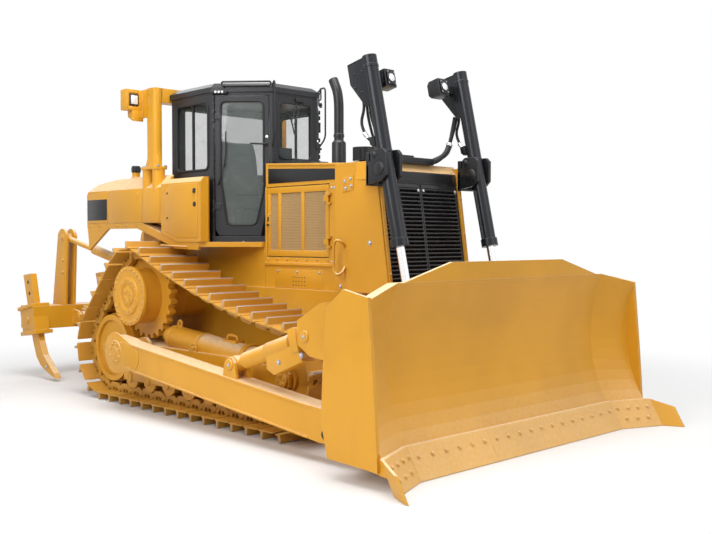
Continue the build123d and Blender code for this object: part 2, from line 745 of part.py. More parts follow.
def engine_post_hinges():
    """Ears and pins on the right-hand strip in front of the engine door."""
    y = -HOOD_Y
    x = ENGINE_DOOR_X1
    body = None
    for z in ENGINE_HINGE_ZS:
        piece = hinge_pin(engine_hinge_point(z))
        for z0 in (z - KNUCKLE_HALF - 25, z + KNUCKLE_HALF + 1):
            px, py, _ = engine_hinge_point(z)
            piece += rod((px, py, z0), (px, py, z0 + 24), KNUCKLE_R)
            piece += block(px, x + 44, y - HINGE_OUT - KNUCKLE_R, y - HINGE_OUT + KNUCKLE_R, z0, z0 + 24)
            piece += block(x + 12, x + 44, y - HINGE_OUT, y + 2, z0, z0 + 24)
        body = piece if body is None else body + piece
    return body


def door_outline(gap):
    """Outline of the cab door on its plane, widened by a gap."""
    _, length = door_plane()
    front = length - 36 + gap
    low = DECK_Z + CAB_SILL + DOOR_GAP - gap
    high = CAB_HEAD - DOOR_GAP + gap
    return [(30 - gap, low + 65), (30 - gap, high), (front, high), (front, low + 395), (front - 80, low), (70, low)]


def door_glass_outline():
    """Outline of the door's pane on the door plane."""
    _, length = door_plane()
    low = DECK_Z + CAB_SILL + 112
    high = CAB_HEAD - WINDOW_DROP
    return [(85, low + 440), (85, high - 25), (110, high), (length - 112, high), (length - 87, high - 25),
            (length - 87, low + 340), (length - 165, low), (150, low)]


def side_pane():
    """XZ outline of the rear side window."""
    x0 = CAB_REAR[0] + 105
    x1 = CAB_HINGE[0] - 70
    high = CAB_HEAD - WINDOW_DROP
    return [(x0, WAIST + 40), (x0, high - 40), (x0 + 40, high), (x1 - 40, high), (x1, high - 40), (x1, WAIST + 40),
            (x1 - 40, WAIST), (x0 + 40, WAIST)]


def screen_outline():
    """YZ outline of the windscreen."""
    half = CAB_FRONT[1] - 85
    high = CAB_HEAD - WINDOW_DROP
    return [(-half, WAIST + 110), (-half, high), (half, high), (half, WAIST + 110)]


def rear_pane():
    """YZ outline of the rear window."""
    half = CAB_REAR[1] - 140
    high = CAB_HEAD - WINDOW_DROP
    return [(-half, WAIST + 20), (-half, high), (half, high), (half, WAIST + 20)]


def cab_shell():
    """Cab walls from the floor to the roof, before the openings are cut."""
    low = DECK_Z + CAB_SILL
    return prism_z(cab_plan(0), low, CAB_HEAD) - prism_z(cab_plan(CAB_WALL), low - 10, CAB_HEAD + 10)


def cab_floor():
    """Cab floor with the door sills."""
    return prism_z(cab_plan(0), DECK_Z, DECK_Z + CAB_SILL)


def cab_walls():
    """Front wall, side walls and rear wall, each with its window cut."""
    shell = cab_shell()
    for shape in both(on_door(door_outline(DOOR_GAP), 60, -110)):
        shell -= shape
    for shape in both(on_door(upright(24, door_plane()[1] - 30, DECK_Z, CAB_HEAD + 10), 60, -110)):
        shell -= shape
    high = CAB_HEAD + 20
    front = shell & block(CAB_HINGE[0] + 60, CAB_FRONT[0] + 20, -CAB_HINGE[1], CAB_HINGE[1], DECK_Z, high)
    front -= prism_x(screen_outline(), CAB_FRONT[0] - 90, CAB_FRONT[0] + 60)
    back = block(CAB_REAR[0] - 20, CAB_REAR[0] + CAB_WALL, -900, 900, DECK_Z, high)
    rear = shell & back
    rear -= prism_x(rear_pane(), CAB_REAR[0] - 60, CAB_REAR[0] + 90)
    side = (shell - back) & block(CAB_REAR[0], CAB_HINGE[0] + 60, -900, 0, DECK_Z, high)
    side -= prism_y(side_pane(), -900, 0)
    return front, side + cab_post_hinges(), rear


def cab_roof():
    """Roof with its headliner between the walls' tops and a bevelled rim."""
    eave = CAB_HEAD + ROOF_SKIRT
    rim = make_face(Polyline(*cab_plan(-16), close=True))
    crown = make_face(Polyline(*cab_plan(40), close=True))
    cap = loft([Pos(0, 0, eave + ROOF_RIM) * rim, Pos(0, 0, eave + ROOF_RIM + ROOF_CROWN) * crown], ruled=True)
    return prism_z(cab_plan(0), CAB_HEAD, eave) + prism_z(cab_plan(-16), eave, eave + ROOF_RIM) + cap


def cab_door():
    """Right-hand cab door with its window cut."""
    return on_door(door_outline(0), 0, -DOOR_THICK) - on_door(door_glass_outline(), 10, -60) + cab_door_hinges()


def door_glass():
    """Right-hand door pane."""
    return on_door(door_glass_outline(), -16, -16 - GLASS)


def side_wall_plane():
    """Plane of the right-hand rear side wall."""
    dx = CAB_HINGE[0] - CAB_REAR[0]
    dy = CAB_REAR[1] - CAB_HINGE[1]
    length = hypot(dx, dy)
    return Plane((CAB_REAR[0], -CAB_REAR[1], 0), x_dir=(dx / length, dy / length, 0),
                 z_dir=(dy / length, -dx / length, 0))


def cab_glass():
    """Fixed panes: windscreen, rear window and the two side windows."""
    screen = CAB_FRONT[0] - 26
    back = CAB_REAR[0] + 15
    panes = [prism_x(screen_outline(), screen, screen + GLASS), prism_x(rear_pane(), back, back + GLASS)]
    slab = extrude(side_wall_plane().offset(-24) * Rectangle(4000, 8000), amount=GLASS)
    return panes + both(prism_y(side_pane(), -900, -600) & slab)


def rops_post():
    """Right-hand rollover post with its foot and lamp box."""
    body = block(ROPS_X0, ROPS_X1, -ROPS_Y1, -ROPS_Y0, TANK_TOP, ROPS_TOP)
    body += block(ROPS_X0 - 40, ROPS_X1 + 40, -ROPS_Y1 + 1, -ROPS_Y0 + 36, TANK_TOP, TANK_TOP + 30)
    return body + block(ROPS_X0 - 90, ROPS_X0 + 2, -ROPS_Y1 + 5, -ROPS_Y0 - 5, 3200, 3300)


def rops_crossbar():
    """Bar between the rollover posts, behind the roof."""
    return block(ROPS_X0, ROPS_X1 - 10, -ROPS_Y0, ROPS_Y0, 3160, ROPS_TOP)


def fuel_tank():
    """Tank across the rear with its bevelled back."""
    points = [(TANK_REAR, TANK_LOW), (TANK_REAR, 2230), (TANK_REAR + 110, TANK_TOP), (TANK_FRONT, TANK_TOP),
              (TANK_FRONT, TANK_LOW)]
    return prism_y(points, -TANK_Y, TANK_Y) - block(-925, -700, -756, 756, 1800, 2400)


def fender():
    """Right-hand fender: deck beside the cab, stepped up over the sprocket, with its skirt."""
    skirt = [(TANK_REAR, TANK_LOW), (TANK_REAR + 50, 1593), (-1913, 1833), (-1290, 1833), (-640, 1652), (-560, 1622),
             (-142, 1610), (-142, DECK_Z), (STEP_X, DECK_Z), (STEP_X - 695, TANK_LOW)]
    body = prism_y(skirt, -TANK_Y, -TANK_Y + 30)
    floor = [(-142, DECK_LOW), (STEP_X - 15, DECK_LOW), (STEP_X - 715, 1850), (TANK_REAR, 1850), (TANK_REAR, TANK_LOW),
             (STEP_X - 695, TANK_LOW), (STEP_X, DECK_Z), (-142, DECK_Z)]
    body += prism_y(floor, -TANK_Y, -712)
    deck = [(STEP_X, -TANK_Y), (-142, -TANK_Y), (288, -432), (288, -300), (STEP_X, -300)]
    return body + prism_z(deck, DECK_LOW, DECK_Z)


def side_box():
    """Right-hand box beside the cab, with a bevelled edge."""
    points = [(-TANK_Y - 12, DECK_Z), (-TANK_Y - 12, 2290), (-TANK_Y + 30, TANK_TOP - 2), (-764, TANK_TOP - 2),
              (-764, DECK_Z)]
    step = [(STEP_X, DECK_Z - 60), (STEP_X, DECK_Z), (STEP_X - 695, TANK_LOW), (STEP_X - 695, DECK_Z - 60)]
    relief = [(BOX_FRONT - DOOR_RELIEF, -764), (BOX_FRONT + 5, -764 - DOOR_RELIEF), (BOX_FRONT + 5, -700),
              (BOX_FRONT - DOOR_RELIEF, -700)]
    box = prism_x(points, TANK_FRONT, BOX_FRONT) - prism_y(step, -TANK_Y - 20, -700)
    return box - prism_z(relief, DECK_Z - 10, TANK_TOP + 10)


def exhaust():
    """Exhaust stack with its slanted mouth."""
    x, y = 1270.0, -300.0
    body = rod((x, y, 2380), (x, y, 2640), 78)
    body += rod((x, y, 2630), (x, y, 3190), 58)
    body -= rod((x, y, 2700), (x, y, 3300), 50)
    cut = prism_y([(x - 120, 3060), (x + 120, 3190), (x + 120, 3400), (x - 120, 3400)], y - 120, y + 120)
    return body - cut - under_hood(0, HOOD_Y + 50)


def precleaner():
    """Air pre-cleaner bowl on the hood."""
    x, y = 1180.0, 120.0
    body = rod((x, y, 2380), (x, y, 2480), 55) + rod((x, y, 2470), (x, y, 2600), 115)
    return body - under_hood(0, HOOD_Y + 50)


def rear_bracket():
    """Ripper bracket on the rear case: plate, tilt ears and raise ears."""
    body = block(CASE_REAR - 40, CASE_REAR, -690, 690, 1160, 1550)
    for (x, z), yc, gap in ((TILT_FRONT, TILT_Y, 44), (RAISE_TOP, RAISE_Y, 60)):
        ear = [(CASE_REAR - 20, z - 80), (x, z - 62), (x - 52, z - 30), (x - 52, z + 30), (x, z + 62),
               (CASE_REAR - 20, z + 80)]
        for sign in (-1, 1):
            for y0 in (sign * yc - gap - 28, sign * yc + gap):
                plate = prism_y(ear, y0, y0 + 28)
                body += plate - pin_y(x, z, y0 - 5, y0 + 33, 32 + FIT)
    return body


def ripper_arm():
    """Right-hand lower link arm."""
    ax, az = LINK_FRONT
    bx, bz = LINK_REAR
    y0, y1 = -LINK_Y - 40, -LINK_Y + 40
    body = prism_y([(ax, az - 66), (bx, bz - 66), (bx, bz + 66), (ax, az + 66)], y0, y1)
    body += pin_y(ax, az, y0, y1, 74) + pin_y(bx, bz, y0, y1, 74)
    body -= pin_y(ax, az, y0 - 5, y1 + 5, 38 + FIT)
    return body - pin_y(bx, bz, y0 - 5, y1 + 5, 38 + FIT)


def ripper_crossbar():
    """Bar between the link arms, with the ears of the raise rods."""
    x, z = RAISE_EYE
    body = block(x - 78, x + 78, -LINK_Y + 40, LINK_Y - 40, z - 170, z - 80)
    ear = [(x - 78, z - 90), (x - 78, z + 35), (x - 38, z + 80), (x + 38, z + 80), (x + 78, z + 35), (x + 78, z - 90)]
    for sign in (-1, 1):
        for y0 in (sign * RAISE_Y - 78, sign * RAISE_Y + 50):
            body += prism_y(ear, y0, y0 + 28)
        body -= pin_y(x, z, sign * RAISE_Y - 90, sign * RAISE_Y + 90, 22 + RAISE_SLACK)
    return body


def raise_point(along):
    """Point of the right-hand raise cylinder's axis, measured down from its top pin."""
    dx = RAISE_EYE[0] - RAISE_TOP[0]
    dz = RAISE_EYE[1] - RAISE_TOP[1]
    length = hypot(dx, dz)
    return (RAISE_TOP[0] + dx / length * along, -RAISE_Y, RAISE_TOP[1] + dz / length * along)


def raise_barrel():
    """Right-hand raise cylinder barrel."""
    x, z = RAISE_TOP
    body = rod(raise_point(0), raise_point(RAISE_GLAND), 54) + pin_y(x, z, -RAISE_Y - 56, -RAISE_Y + 56, 54)
    body += pin_y(x, z, -RAISE_Y - 86, -RAISE_Y + 86, 32)
    return body - rod(raise_point(62), raise_point(RAISE_GLAND + 20), 30 + FIT)


def raise_rod():
    """Right-hand raise rod with its eye and cross pin."""
    x, z = RAISE_EYE
    length = hypot(x - RAISE_TOP[0], z - RAISE_TOP[1])
    body = rod(raise_point(length - RAISE_ROD), raise_point(length - 20), 30)
    body += pin_y(x, z, -RAISE_Y - 40, -RAISE_Y + 40, 46)
    return body + pin_y(x, z, -RAISE_Y - 74, -RAISE_Y + 74, 22)


def tilt_cylinder():
    """Right-hand upper link of the ripper: barrel, rod and two eyes."""
    a = (TILT_FRONT[0], -TILT_Y, TILT_FRONT[1])
    b = (TILT_REAR[0], -TILT_Y, TILT_REAR[1])
    neck = tuple(p + (q - p) * 0.07 for p, q in zip(a, b))
    mid = tuple(p + (q - p) * 0.52 for p, q in zip(a, b))
    body = rod(a, neck, 38) + rod(neck, mid, 58) + rod(mid, b, 34)
    for x, _, z in (a, b):
        body += pin_y(x, z, -TILT_Y - 39, -TILT_Y + 39, 54) + pin_y(x, z, -TILT_Y - 70, -TILT_Y + 70, 32)
    return body


def shank():
    """Curved shank with its tooth, on the centre plane."""
    points = [(-3800, 1265), (-3590, 1290), (-3370, 470), (-3270, 300), (-2990, 100), (-2955, 40), (-3040, 60),
              (-3330, 160), (-3450, 260), (-3550, 470)]
    return prism_y(points, -SHANK_T / 2, SHANK_T / 2)


def ripper_shanks():
    """Three shanks across the beam."""
    return [Pos(0, y, 0) * shank() for y in (-SHANK_Y, 0, SHANK_Y)]


def ripper_beam():
    """Beam with the shank pockets and the ears of the lower link."""
    body = block(BEAM_X0, BEAM_X1, -1100, 1100, BEAM_Z0, BEAM_Z1)
    for y in (-SHANK_Y, 0, SHANK_Y):
        body += prism_y([(-3790, 860), (-3440, 930), (-3350, 560), (-3690, 510)], y - 95, y + 95)
    for solid in ripper_shanks():
        body -= solid
    x, z = LINK_REAR
    ear = [(BEAM_X1 - 10, z - 100), (x, z - 76), (x + 66, z - 36), (x + 66, z + 36), (x, z + 76), (BEAM_X1 - 10, z + 100)]
    for sign in (-1, 1):
        for y0 in (sign * LINK_Y - 72, sign * LINK_Y + 44):
            body += prism_y(ear, y0, y0 + 28)
        body += pin_y(x, z, sign * LINK_Y - 70, sign * LINK_Y + 70, 38)
    return body


def ripper_towers():
    """Tower plates on the beam, a pair for each tilt cylinder."""
    x, z = TILT_REAR
    outline = [(BEAM_X0, BEAM_Z1), (-3410, BEAM_Z1), (x + 70, z), (x + 40, z + 60), (x - 40, z + 60), (x - 80, z)]
    solids = []
    for sign in (-1, 1):
        for y0 in (sign * TILT_Y - 72, sign * TILT_Y + 42):
            solids.append(prism_y(outline, y0, y0 + 30) - pin_y(x, z, y0 - 5, y0 + 35, 32.5))
    return solids


PARTS = {}


def add(name, shapes):
    """Keep a node, moved to the shared origin."""
    solids = shapes if isinstance(shapes, list) else [shapes]
    flat = []
    for shape in solids:
        flat.extend(shape.solids())
    PARTS[name] = Pos(ORIGIN_X, 0, 0) * Compound(children=flat)


def add_pair(name, shape):
    """Keep a right-hand node and its left-hand mirror image."""
    add(name + "_right", shape)
    add(name + "_left", left(shape))


def main():
    """Build every node and write it."""
    add_pair("track", track())
    add("sprockets", both(sprocket()))
    add("idlers", both(idler(FRONT_IDLER, FRONT_IDLER_R)) + both(idler(REAR_IDLER, REAR_IDLER_R)))
    add("track_rollers", [shape for wheel in rollers() for shape in both(wheel)])
    add("track_frames", both(track_frame()))
    add("main_frame", main_frame())
    add("rear_case", rear_case())
    add("engine_block", engine_block())
    add("radiator_guard", radiator_guard())
    add("grille", grille())
    add("hood", hood())
    add("side_panels", both(side_panel()))
    add_pair("engine_door", engine_door())
    add("exhaust", exhaust())
    add("precleaner", precleaner())
    add("lift_yokes", both(lift_yoke()))
    add_pair("lift_barrel", lift_barrel())
    add_pair("lift_rod", lift_rod())
    add("blade", blade())
    add("blade_edges", blade_edges())
    add_pair("push_arm", push_arm())
    add("tilt_strut", strut(72))
    add("brace_strut", left(strut(50)))
    front, side, rear = cab_walls()
    add("cab_floor", cab_floor())
    add("cab_front", front)
    add("cab_sides", both(side))
    add("cab_rear", rear)
    add("cab_roof", cab_roof())
    add("cab_glass", cab_glass())
    add_pair("cab_door", cab_door())
    add_pair("door_glass", door_glass())
    add("rops_posts", both(rops_post()))
    add("rops_crossbar", rops_crossbar())
    add("fuel_tank", fuel_tank())
    add("fenders", both(fender()))
    add("side_boxes", both(side_box()))
    add("rear_bracket", rear_bracket())
    add("ripper_arms", both(ripper_arm()))
    add("ripper_crossbar", ripper_crossbar())
    add_pair("raise_barrel", raise_barrel())
    add_pair("raise_rod", raise_rod())
    add_pair("tilt_cylinder", tilt_cylinder())
    add("ripper_beam", ripper_beam())
    add("ripper_towers", ripper_towers())
    add("ripper_shanks", ripper_shanks())
    os.makedirs("parts", exist_ok=True)
    for name, shape in PARTS.items():
        export_step(shape, f"parts/{name}.step")


if __name__ == "__main__":
    main()
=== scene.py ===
"""Studio scene of a crawler bulldozer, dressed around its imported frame."""

from __future__ import annotations

import json
import logging
import math
from dataclasses import dataclass, field
from enum import Enum
from typing import Callable, Sequence, Union

import bmesh
import bpy
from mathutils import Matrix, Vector

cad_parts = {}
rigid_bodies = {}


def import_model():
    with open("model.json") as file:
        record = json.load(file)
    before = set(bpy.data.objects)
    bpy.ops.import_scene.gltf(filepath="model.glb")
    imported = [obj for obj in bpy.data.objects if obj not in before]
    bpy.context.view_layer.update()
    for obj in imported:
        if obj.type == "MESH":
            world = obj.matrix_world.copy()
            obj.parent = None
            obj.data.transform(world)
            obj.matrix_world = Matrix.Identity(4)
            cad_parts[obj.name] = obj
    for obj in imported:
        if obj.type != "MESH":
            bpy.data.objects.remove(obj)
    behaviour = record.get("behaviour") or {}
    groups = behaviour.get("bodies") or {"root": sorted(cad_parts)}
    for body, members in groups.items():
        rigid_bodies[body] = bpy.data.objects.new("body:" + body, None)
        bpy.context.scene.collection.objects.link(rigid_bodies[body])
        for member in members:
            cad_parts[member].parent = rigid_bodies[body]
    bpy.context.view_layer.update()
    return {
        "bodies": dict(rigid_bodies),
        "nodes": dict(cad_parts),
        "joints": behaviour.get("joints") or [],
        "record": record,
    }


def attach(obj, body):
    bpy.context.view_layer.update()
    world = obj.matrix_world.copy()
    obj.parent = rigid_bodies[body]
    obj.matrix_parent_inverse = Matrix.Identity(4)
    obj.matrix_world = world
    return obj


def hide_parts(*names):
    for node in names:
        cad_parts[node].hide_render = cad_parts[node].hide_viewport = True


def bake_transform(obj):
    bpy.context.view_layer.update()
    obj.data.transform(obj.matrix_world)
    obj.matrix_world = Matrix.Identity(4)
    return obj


LOG = logging.getLogger("bulldozer")
Colour = tuple[float, float, float]
Point = tuple[float, float, float]
Pair = tuple[float, float]
ORIGIN_X = 100.0
SIDES = (("right", -1), ("left", 1))
UP = Vector((0, 0, 1))


def at(x: float, y: float, z: float) -> Vector:
    """Point of the model in metres, from the drawing's millimetres."""
    return Vector(((x + ORIGIN_X) / 1000, y / 1000, z / 1000))


def mm(value: float) -> float:
    """Metres from millimetres."""
    return value / 1000


def by(x: float, y: float, z: float) -> Vector:
    """Step in metres, from millimetres along the three axes."""
    return Vector((mm(x), mm(y), mm(z)))


def upright(y: float, *corners: Pair) -> list[Vector]:
    """Outline in a plane along the machine, from the X and Z of its corners."""
    return [at(x, y, z) for x, z in corners]


class Wire:
    """One value in a material, with operators that add Math nodes."""

    def __init__(self, recipe: "Recipe", socket: bpy.types.NodeSocket) -> None:
        """Keep the socket and the recipe it belongs to."""
        self.recipe = recipe
        self.socket = socket

    def _math(self, operation: str, first: "Value", second: "Value") -> "Wire":
        """Add one Math node.

        Args:
            operation: Blender's name of the operation.
            first: Left operand.
            second: Right operand.

        Returns:
            The node's result.
        """
        return self.recipe.add("ShaderNodeMath", {"operation": operation}, {0: first, 1: second})

    def __add__(self, other: "Value") -> "Wire":
        """Sum."""
        return self._math("ADD", self, other)

    __radd__ = __add__

    def __sub__(self, other: "Value") -> "Wire":
        """Difference."""
        return self._math("SUBTRACT", self, other)

    def __rsub__(self, other: "Value") -> "Wire":
        """Difference with the operands the other way round."""
        return self._math("SUBTRACT", other, self)

    def __mul__(self, other: "Value") -> "Wire":
        """Product."""
        return self._math("MULTIPLY", self, other)

    __rmul__ = __mul__

    def least(self, other: "Value") -> "Wire":
        """The smaller of two values."""
        return self._math("MINIMUM", self, other)

    def ramp(self, low: float, high: float) -> "Wire":
        """Smooth step from zero at low to one at high."""
        settings = {"interpolation_type": "SMOOTHSTEP"}
        sockets = {"Value": self, "From Min": low, "From Max": high}
        return self.recipe.add("ShaderNodeMapRange", settings, sockets)


Value = Union[Wire, float]


class Recipe:
    """Node tree of one material, or of the surroundings."""

    def __init__(self, name: str, surroundings: bool = False) -> None:
        """Start with an empty tree."""
        self.owner = (bpy.data.worlds if surroundings else bpy.data.materials).new(name)
        self.owner.use_nodes = True
        self.tree = self.owner.node_tree
        self.tree.nodes.clear()

    def add(self, kind: str, settings: dict | None = None, sockets: dict | None = None,
            output: int | str = 0) -> Wire:
        """Add any node.

        Args:
            kind: Blender's name of the node type.
            settings: Properties set first.
            sockets: Values or wires by input name or index.
            output: Name or index of the output to return.

        Returns:
            The chosen output, or an input of a node that has no outputs.
        """
        node = self.tree.nodes.new(kind)
        for name, value in (settings or {}).items():
            setattr(node, name, value)
        for key, value in (sockets or {}).items():
            if isinstance(value, Wire):
                self.tree.links.new(value.socket, node.inputs[key])
            else:
                node.inputs[key].default_value = value
        return Wire(self, (node.outputs or node.inputs)[output])

    def place(self) -> Wire:
        """Object coordinates in metres."""
        return self.add("ShaderNodeTexCoord", output="Object")

    def split(self, vector: Wire, axis: str) -> Wire:
        """One component of a vector."""
        return self.add("ShaderNodeSeparateXYZ", sockets={"Vector": vector}, output=axis)

    def noise(self, scale: float, detail: float = 3.0, rough: float = 0.55,
              stretch: Point = (1, 1, 1)) -> Wire:
        """Cloudy noise over the object's own coordinates.

        Args:
            scale: Number of blotches per metre.
            detail: Octaves.
            rough: Share that each octave keeps.
            stretch: Factors of the three axes.

        Returns:
            A value between zero and one.
        """
        place = self.add("ShaderNodeMapping", sockets={"Vector": self.place(), "Scale": stretch})
        sockets = {"Vector": place, "Scale": scale, "Detail": detail, "Roughness": rough}
        return self.add("ShaderNodeTexNoise", sockets=sockets, output="Fac")

    def facing_up(self) -> Wire:
        """How far a surface faces the sky, from minus one to one."""
        normal = self.add("ShaderNodeNewGeometry", output="Normal")
        return self.split(normal, "Z")

    def mix(self, share: Value, first: Wire | Colour, second: Wire | Colour) -> Wire:
        """Mix two colours.

        Args:
            share: Share of the second colour.
            first: Colour at zero.
            second: Colour at one.

        Returns:
            The mixed colour.
        """
        sockets = {"Factor": share}
        for key, colour in ((6, first), (7, second)):
            sockets[key] = colour if isinstance(colour, Wire) else (*colour, 1.0)
        return self.add("ShaderNodeMix", {"data_type": "RGBA"}, sockets, output=2)

    def rounded(self, radius: float) -> Wire:
        """Normal with the sharp edges eased over a radius."""
        return self.add("ShaderNodeBevel", {"samples": 4}, {"Radius": radius})

    def edges(self, rounded: Wire) -> Wire:
        """Mask of the edges that a rounded normal eases."""
        flat = self.add("ShaderNodeNewGeometry", output="Normal")
        dot = self.add("ShaderNodeVectorMath", {"operation": "DOT_PRODUCT"}, {0: rounded, 1: flat}, "Value")
        return (1.0 - dot).ramp(0.02, 0.2)

    def bump(self, height: Wire, distance: float, normal: Wire | None = None, strength: float = 0.6) -> Wire:
        """Fine relief, on a normal where one is given."""
        sockets = {"Height": height, "Distance": distance, "Strength": strength}
        if normal is not None:
            sockets["Normal"] = normal
        return self.add("ShaderNodeBump", sockets=sockets)

    def finish(self, sockets: dict) -> bpy.types.Material:
        """Close the tree with the surface shader.

        Args:
            sockets: Values or wires of the surface shader.

        Returns:
            The finished material.
        """
        surface = self.add("ShaderNodeBsdfPrincipled", sockets=sockets)
        self.add("ShaderNodeOutputMaterial", sockets={"Surface": surface})
        return self.owner


def toned(colour: Colour, factor: float) -> Colour:
    """Colour made darker or lighter."""
    return tuple(min(1.0, factor * c) for c in colour)


@dataclass(frozen=True)
class Paint:
    """Sprayed machine paint with orange peel, tone drift, light edges of rubbed paint and painted highlight,
    and a dusty film with painted sheen on faces that look up.
    """

    name: str
    colour: Colour
    roughness: float = 0.36
    dust_and_sheen: float = 0.8
    dust_and_sheen_colour: Colour = (0.84, 0.74, 0.56)
    edge_wear_and_highlight_colour: Colour = (0.86, 0.66, 0.34)
    edge_wear_and_highlight_share: float = 0.5
    edge_radius: float = 0.007
    coat: float = 0.08
    gloss: float = 0.3

    def build(self) -> bpy.types.Material:
        """Make the material."""
        recipe = Recipe(self.name)
        drift = recipe.noise(0.8)
        speck = recipe.noise(34.0, detail=5.0, rough=0.65)
        streak = recipe.noise(5.0, detail=4.0, stretch=(1.0, 1.0, 0.12))
        base = recipe.mix(drift.ramp(0.3, 0.7), toned(self.colour, 0.88), toned(self.colour, 1.06))
        base = recipe.mix(streak.ramp(0.55, 0.85) * 0.18, base, toned(self.colour, 0.72))
        rounded = recipe.rounded(self.edge_radius)
        # The eased edges turn lighter: partly rubbed paint, partly a painted highlight where the edges catch
        # the light.
        second_tone = recipe.edges(rounded) * speck.ramp(0.2, 0.6) * self.edge_wear_and_highlight_share
        # Faces that look up turn towards a pale tone: partly a dusty film, partly a painted sheen that stands
        # in for the reflection lighting the tops.
        film = recipe.facing_up().ramp(0.2, 0.95) * (speck.ramp(0.2, 0.8) * 0.6 + 0.4) * self.dust_and_sheen
        tone = recipe.mix(second_tone, base, self.edge_wear_and_highlight_colour)
        tone = recipe.mix(film, tone, self.dust_and_sheen_colour)
        rough = speck * 0.16 + (self.roughness - 0.08) + film * 0.3
        normal = recipe.bump(recipe.noise(420.0, detail=1.0), 0.0006, rounded)
        return recipe.finish({"Base Color": tone, "Roughness": rough, "Normal": normal,
                              "Coat Weight": self.coat, "Coat Roughness": 0.16,
                              "Specular IOR Level": self.gloss})


@dataclass(frozen=True)
class WornPaint:
    """Paint rubbed through to steel where the metal works, most on the marked edges."""

    name: str
    colour: Colour
    bare: Colour = (0.24, 0.15, 0.06)
    polished: Colour = (0.46, 0.43, 0.42)
    wear: float = 0.5
    roughness: float = 0.5
    edge_radius: float = 0.005

    def build(self) -> bpy.types.Material:
        """Make the material."""
        recipe = Recipe(self.name)
        blotch = recipe.noise(7.0, detail=6.0, rough=0.7)
        fine = recipe.noise(60.0, detail=4.0)
        second_tone = (blotch * 0.65 + fine * 0.35).ramp(0.66 - 0.2 * self.wear, 0.9 - 0.2 * self.wear)
        base = recipe.mix(recipe.noise(1.6), toned(self.colour, 0.82), toned(self.colour, 1.1))
        rounded = recipe.rounded(self.edge_radius)
        # The eased edges turn a lighter yellow: partly rubbed paint, partly a painted highlight where the
        # edges catch the light.
        edge = recipe.edges(rounded) * fine.ramp(0.3, 0.6)
        tone = recipe.mix(second_tone * 0.45, base, self.bare)
        tone = recipe.mix(edge * 0.55, tone, (0.80, 0.58, 0.28))
        tip = recipe.add("ShaderNodeAttribute", {"attribute_name": "rubbed"}, output="Fac")
        bright = tip * (fine * 0.5 + blotch * 0.7).ramp(0.25, 0.55)
        tone = recipe.mix(bright, tone, self.polished)
        rough = second_tone * 0.12 + fine * 0.2 + (self.roughness - 0.12) - bright * 0.15
        normal = recipe.bump(fine, 0.0012, rounded)
        return recipe.finish({"Base Color": tone, "Roughness": rough, "Normal": normal,
                              "Metallic": bright * 0.75, "Specular IOR Level": 0.4})


@dataclass(frozen=True)
class BareMetal:
    """Machined or plated metal with faint turning marks."""

    name: str
    colour: Colour
    roughness: float = 0.16

    def build(self) -> bpy.types.Material:
        """Make the material."""
        recipe = Recipe(self.name)
        streak = recipe.noise(90.0, detail=4.0, rough=0.7)
        tone = recipe.mix(streak, toned(self.colour, 0.88), self.colour)
        rough = streak * 0.1 + (self.roughness - 0.05)
        normal = recipe.bump(streak, 0.0002)
        return recipe.finish({"Base Color": tone, "Roughness": rough, "Metallic": 1.0, "Normal": normal})


@dataclass(frozen=True)
class TintedGlass:
    """Green-grey safety glass with a faint dusty film."""

    name: str
    colour: Colour
    alpha: float = 0.30

    def build(self) -> bpy.types.Material:
        """Make the material."""
        recipe = Recipe(self.name)
        film = recipe.noise(5.0, detail=5.0).ramp(0.45, 0.8)
        tone = recipe.mix(film * 0.25, self.colour, (0.36, 0.38, 0.36))
        alpha = film * 0.06 + self.alpha
        rough = film * 0.05 + 0.03
        return recipe.finish({"Base Color": tone, "Roughness": rough, "Alpha": alpha,
                              "Specular IOR Level": 0.6})


@dataclass(frozen=True)
class LampLens:
    """Ribbed clear lens over a bright reflector."""

    name: str
    colour: Colour

    def build(self) -> bpy.types.Material:
        """Make the material."""
        recipe = Recipe(self.name)
        rib = recipe.noise(55.0, detail=1.0, stretch=(1.0, 1.0, 0.2))
        tone = recipe.mix(rib, toned(self.colour, 0.7), self.colour)
        rough = rib * 0.2 + 0.12
        normal = recipe.bump(rib, 0.002)
        return recipe.finish({"Base Color": tone, "Roughness": rough, "Normal": normal, "Coat Weight": 1.0,
                              "Coat Roughness": 0.03, "Metallic": 0.25})


@dataclass(frozen=True)
class Rubber:
    """Matt black rubber or moulded plastic with a fine grain."""

    name: str
    colour: Colour
    roughness: float = 0.55

    def build(self) -> bpy.types.Material:
        """Make the material."""
        recipe = Recipe(self.name)
        grain = recipe.noise(300.0, detail=3.0, rough=0.7)
        drift = recipe.noise(6.0)
        tone = recipe.mix(drift * 0.6 + grain * 0.3, toned(self.colour, 0.8), toned(self.colour, 1.5))
        rough = grain * 0.2 + (self.roughness - 0.1)
        normal = recipe.bump(grain, 0.0006)
        return recipe.finish({"Base Color": tone, "Roughness": rough, "Normal": normal,
                              "Specular IOR Level": 0.35})


@dataclass(frozen=True)
class SeatCloth:
    """Woven charcoal seat cover with a soft sheen."""

    name: str
    colour: Colour
    threads: float = 700.0

    def build(self) -> bpy.types.Material:
        """Make the material."""
        recipe = Recipe(self.name)
        weave: list[Wire] = []
        for direction in ("Y", "Z"):
            settings = {"wave_type": "BANDS", "bands_direction": direction}
            sockets = {"Vector": recipe.place(), "Scale": self.threads / 20, "Distortion": 0.4}
            weave.append(recipe.add("ShaderNodeTexWave", settings, sockets, "Fac"))
        cloth = weave[0] * 0.5 + weave[1] * 0.5
        drift = recipe.noise(9.0, detail=4.0)
        tone = recipe.mix(cloth * 0.7 + drift * 0.3, toned(self.colour, 0.6), toned(self.colour, 1.7))
        rough = drift * 0.15 + 0.72
        normal = recipe.bump(cloth, 0.001)
        return recipe.finish({"Base Color": tone, "Roughness": rough, "Normal": normal, "Sheen Weight": 0.35,
                              "Sheen Roughness": 0.5})


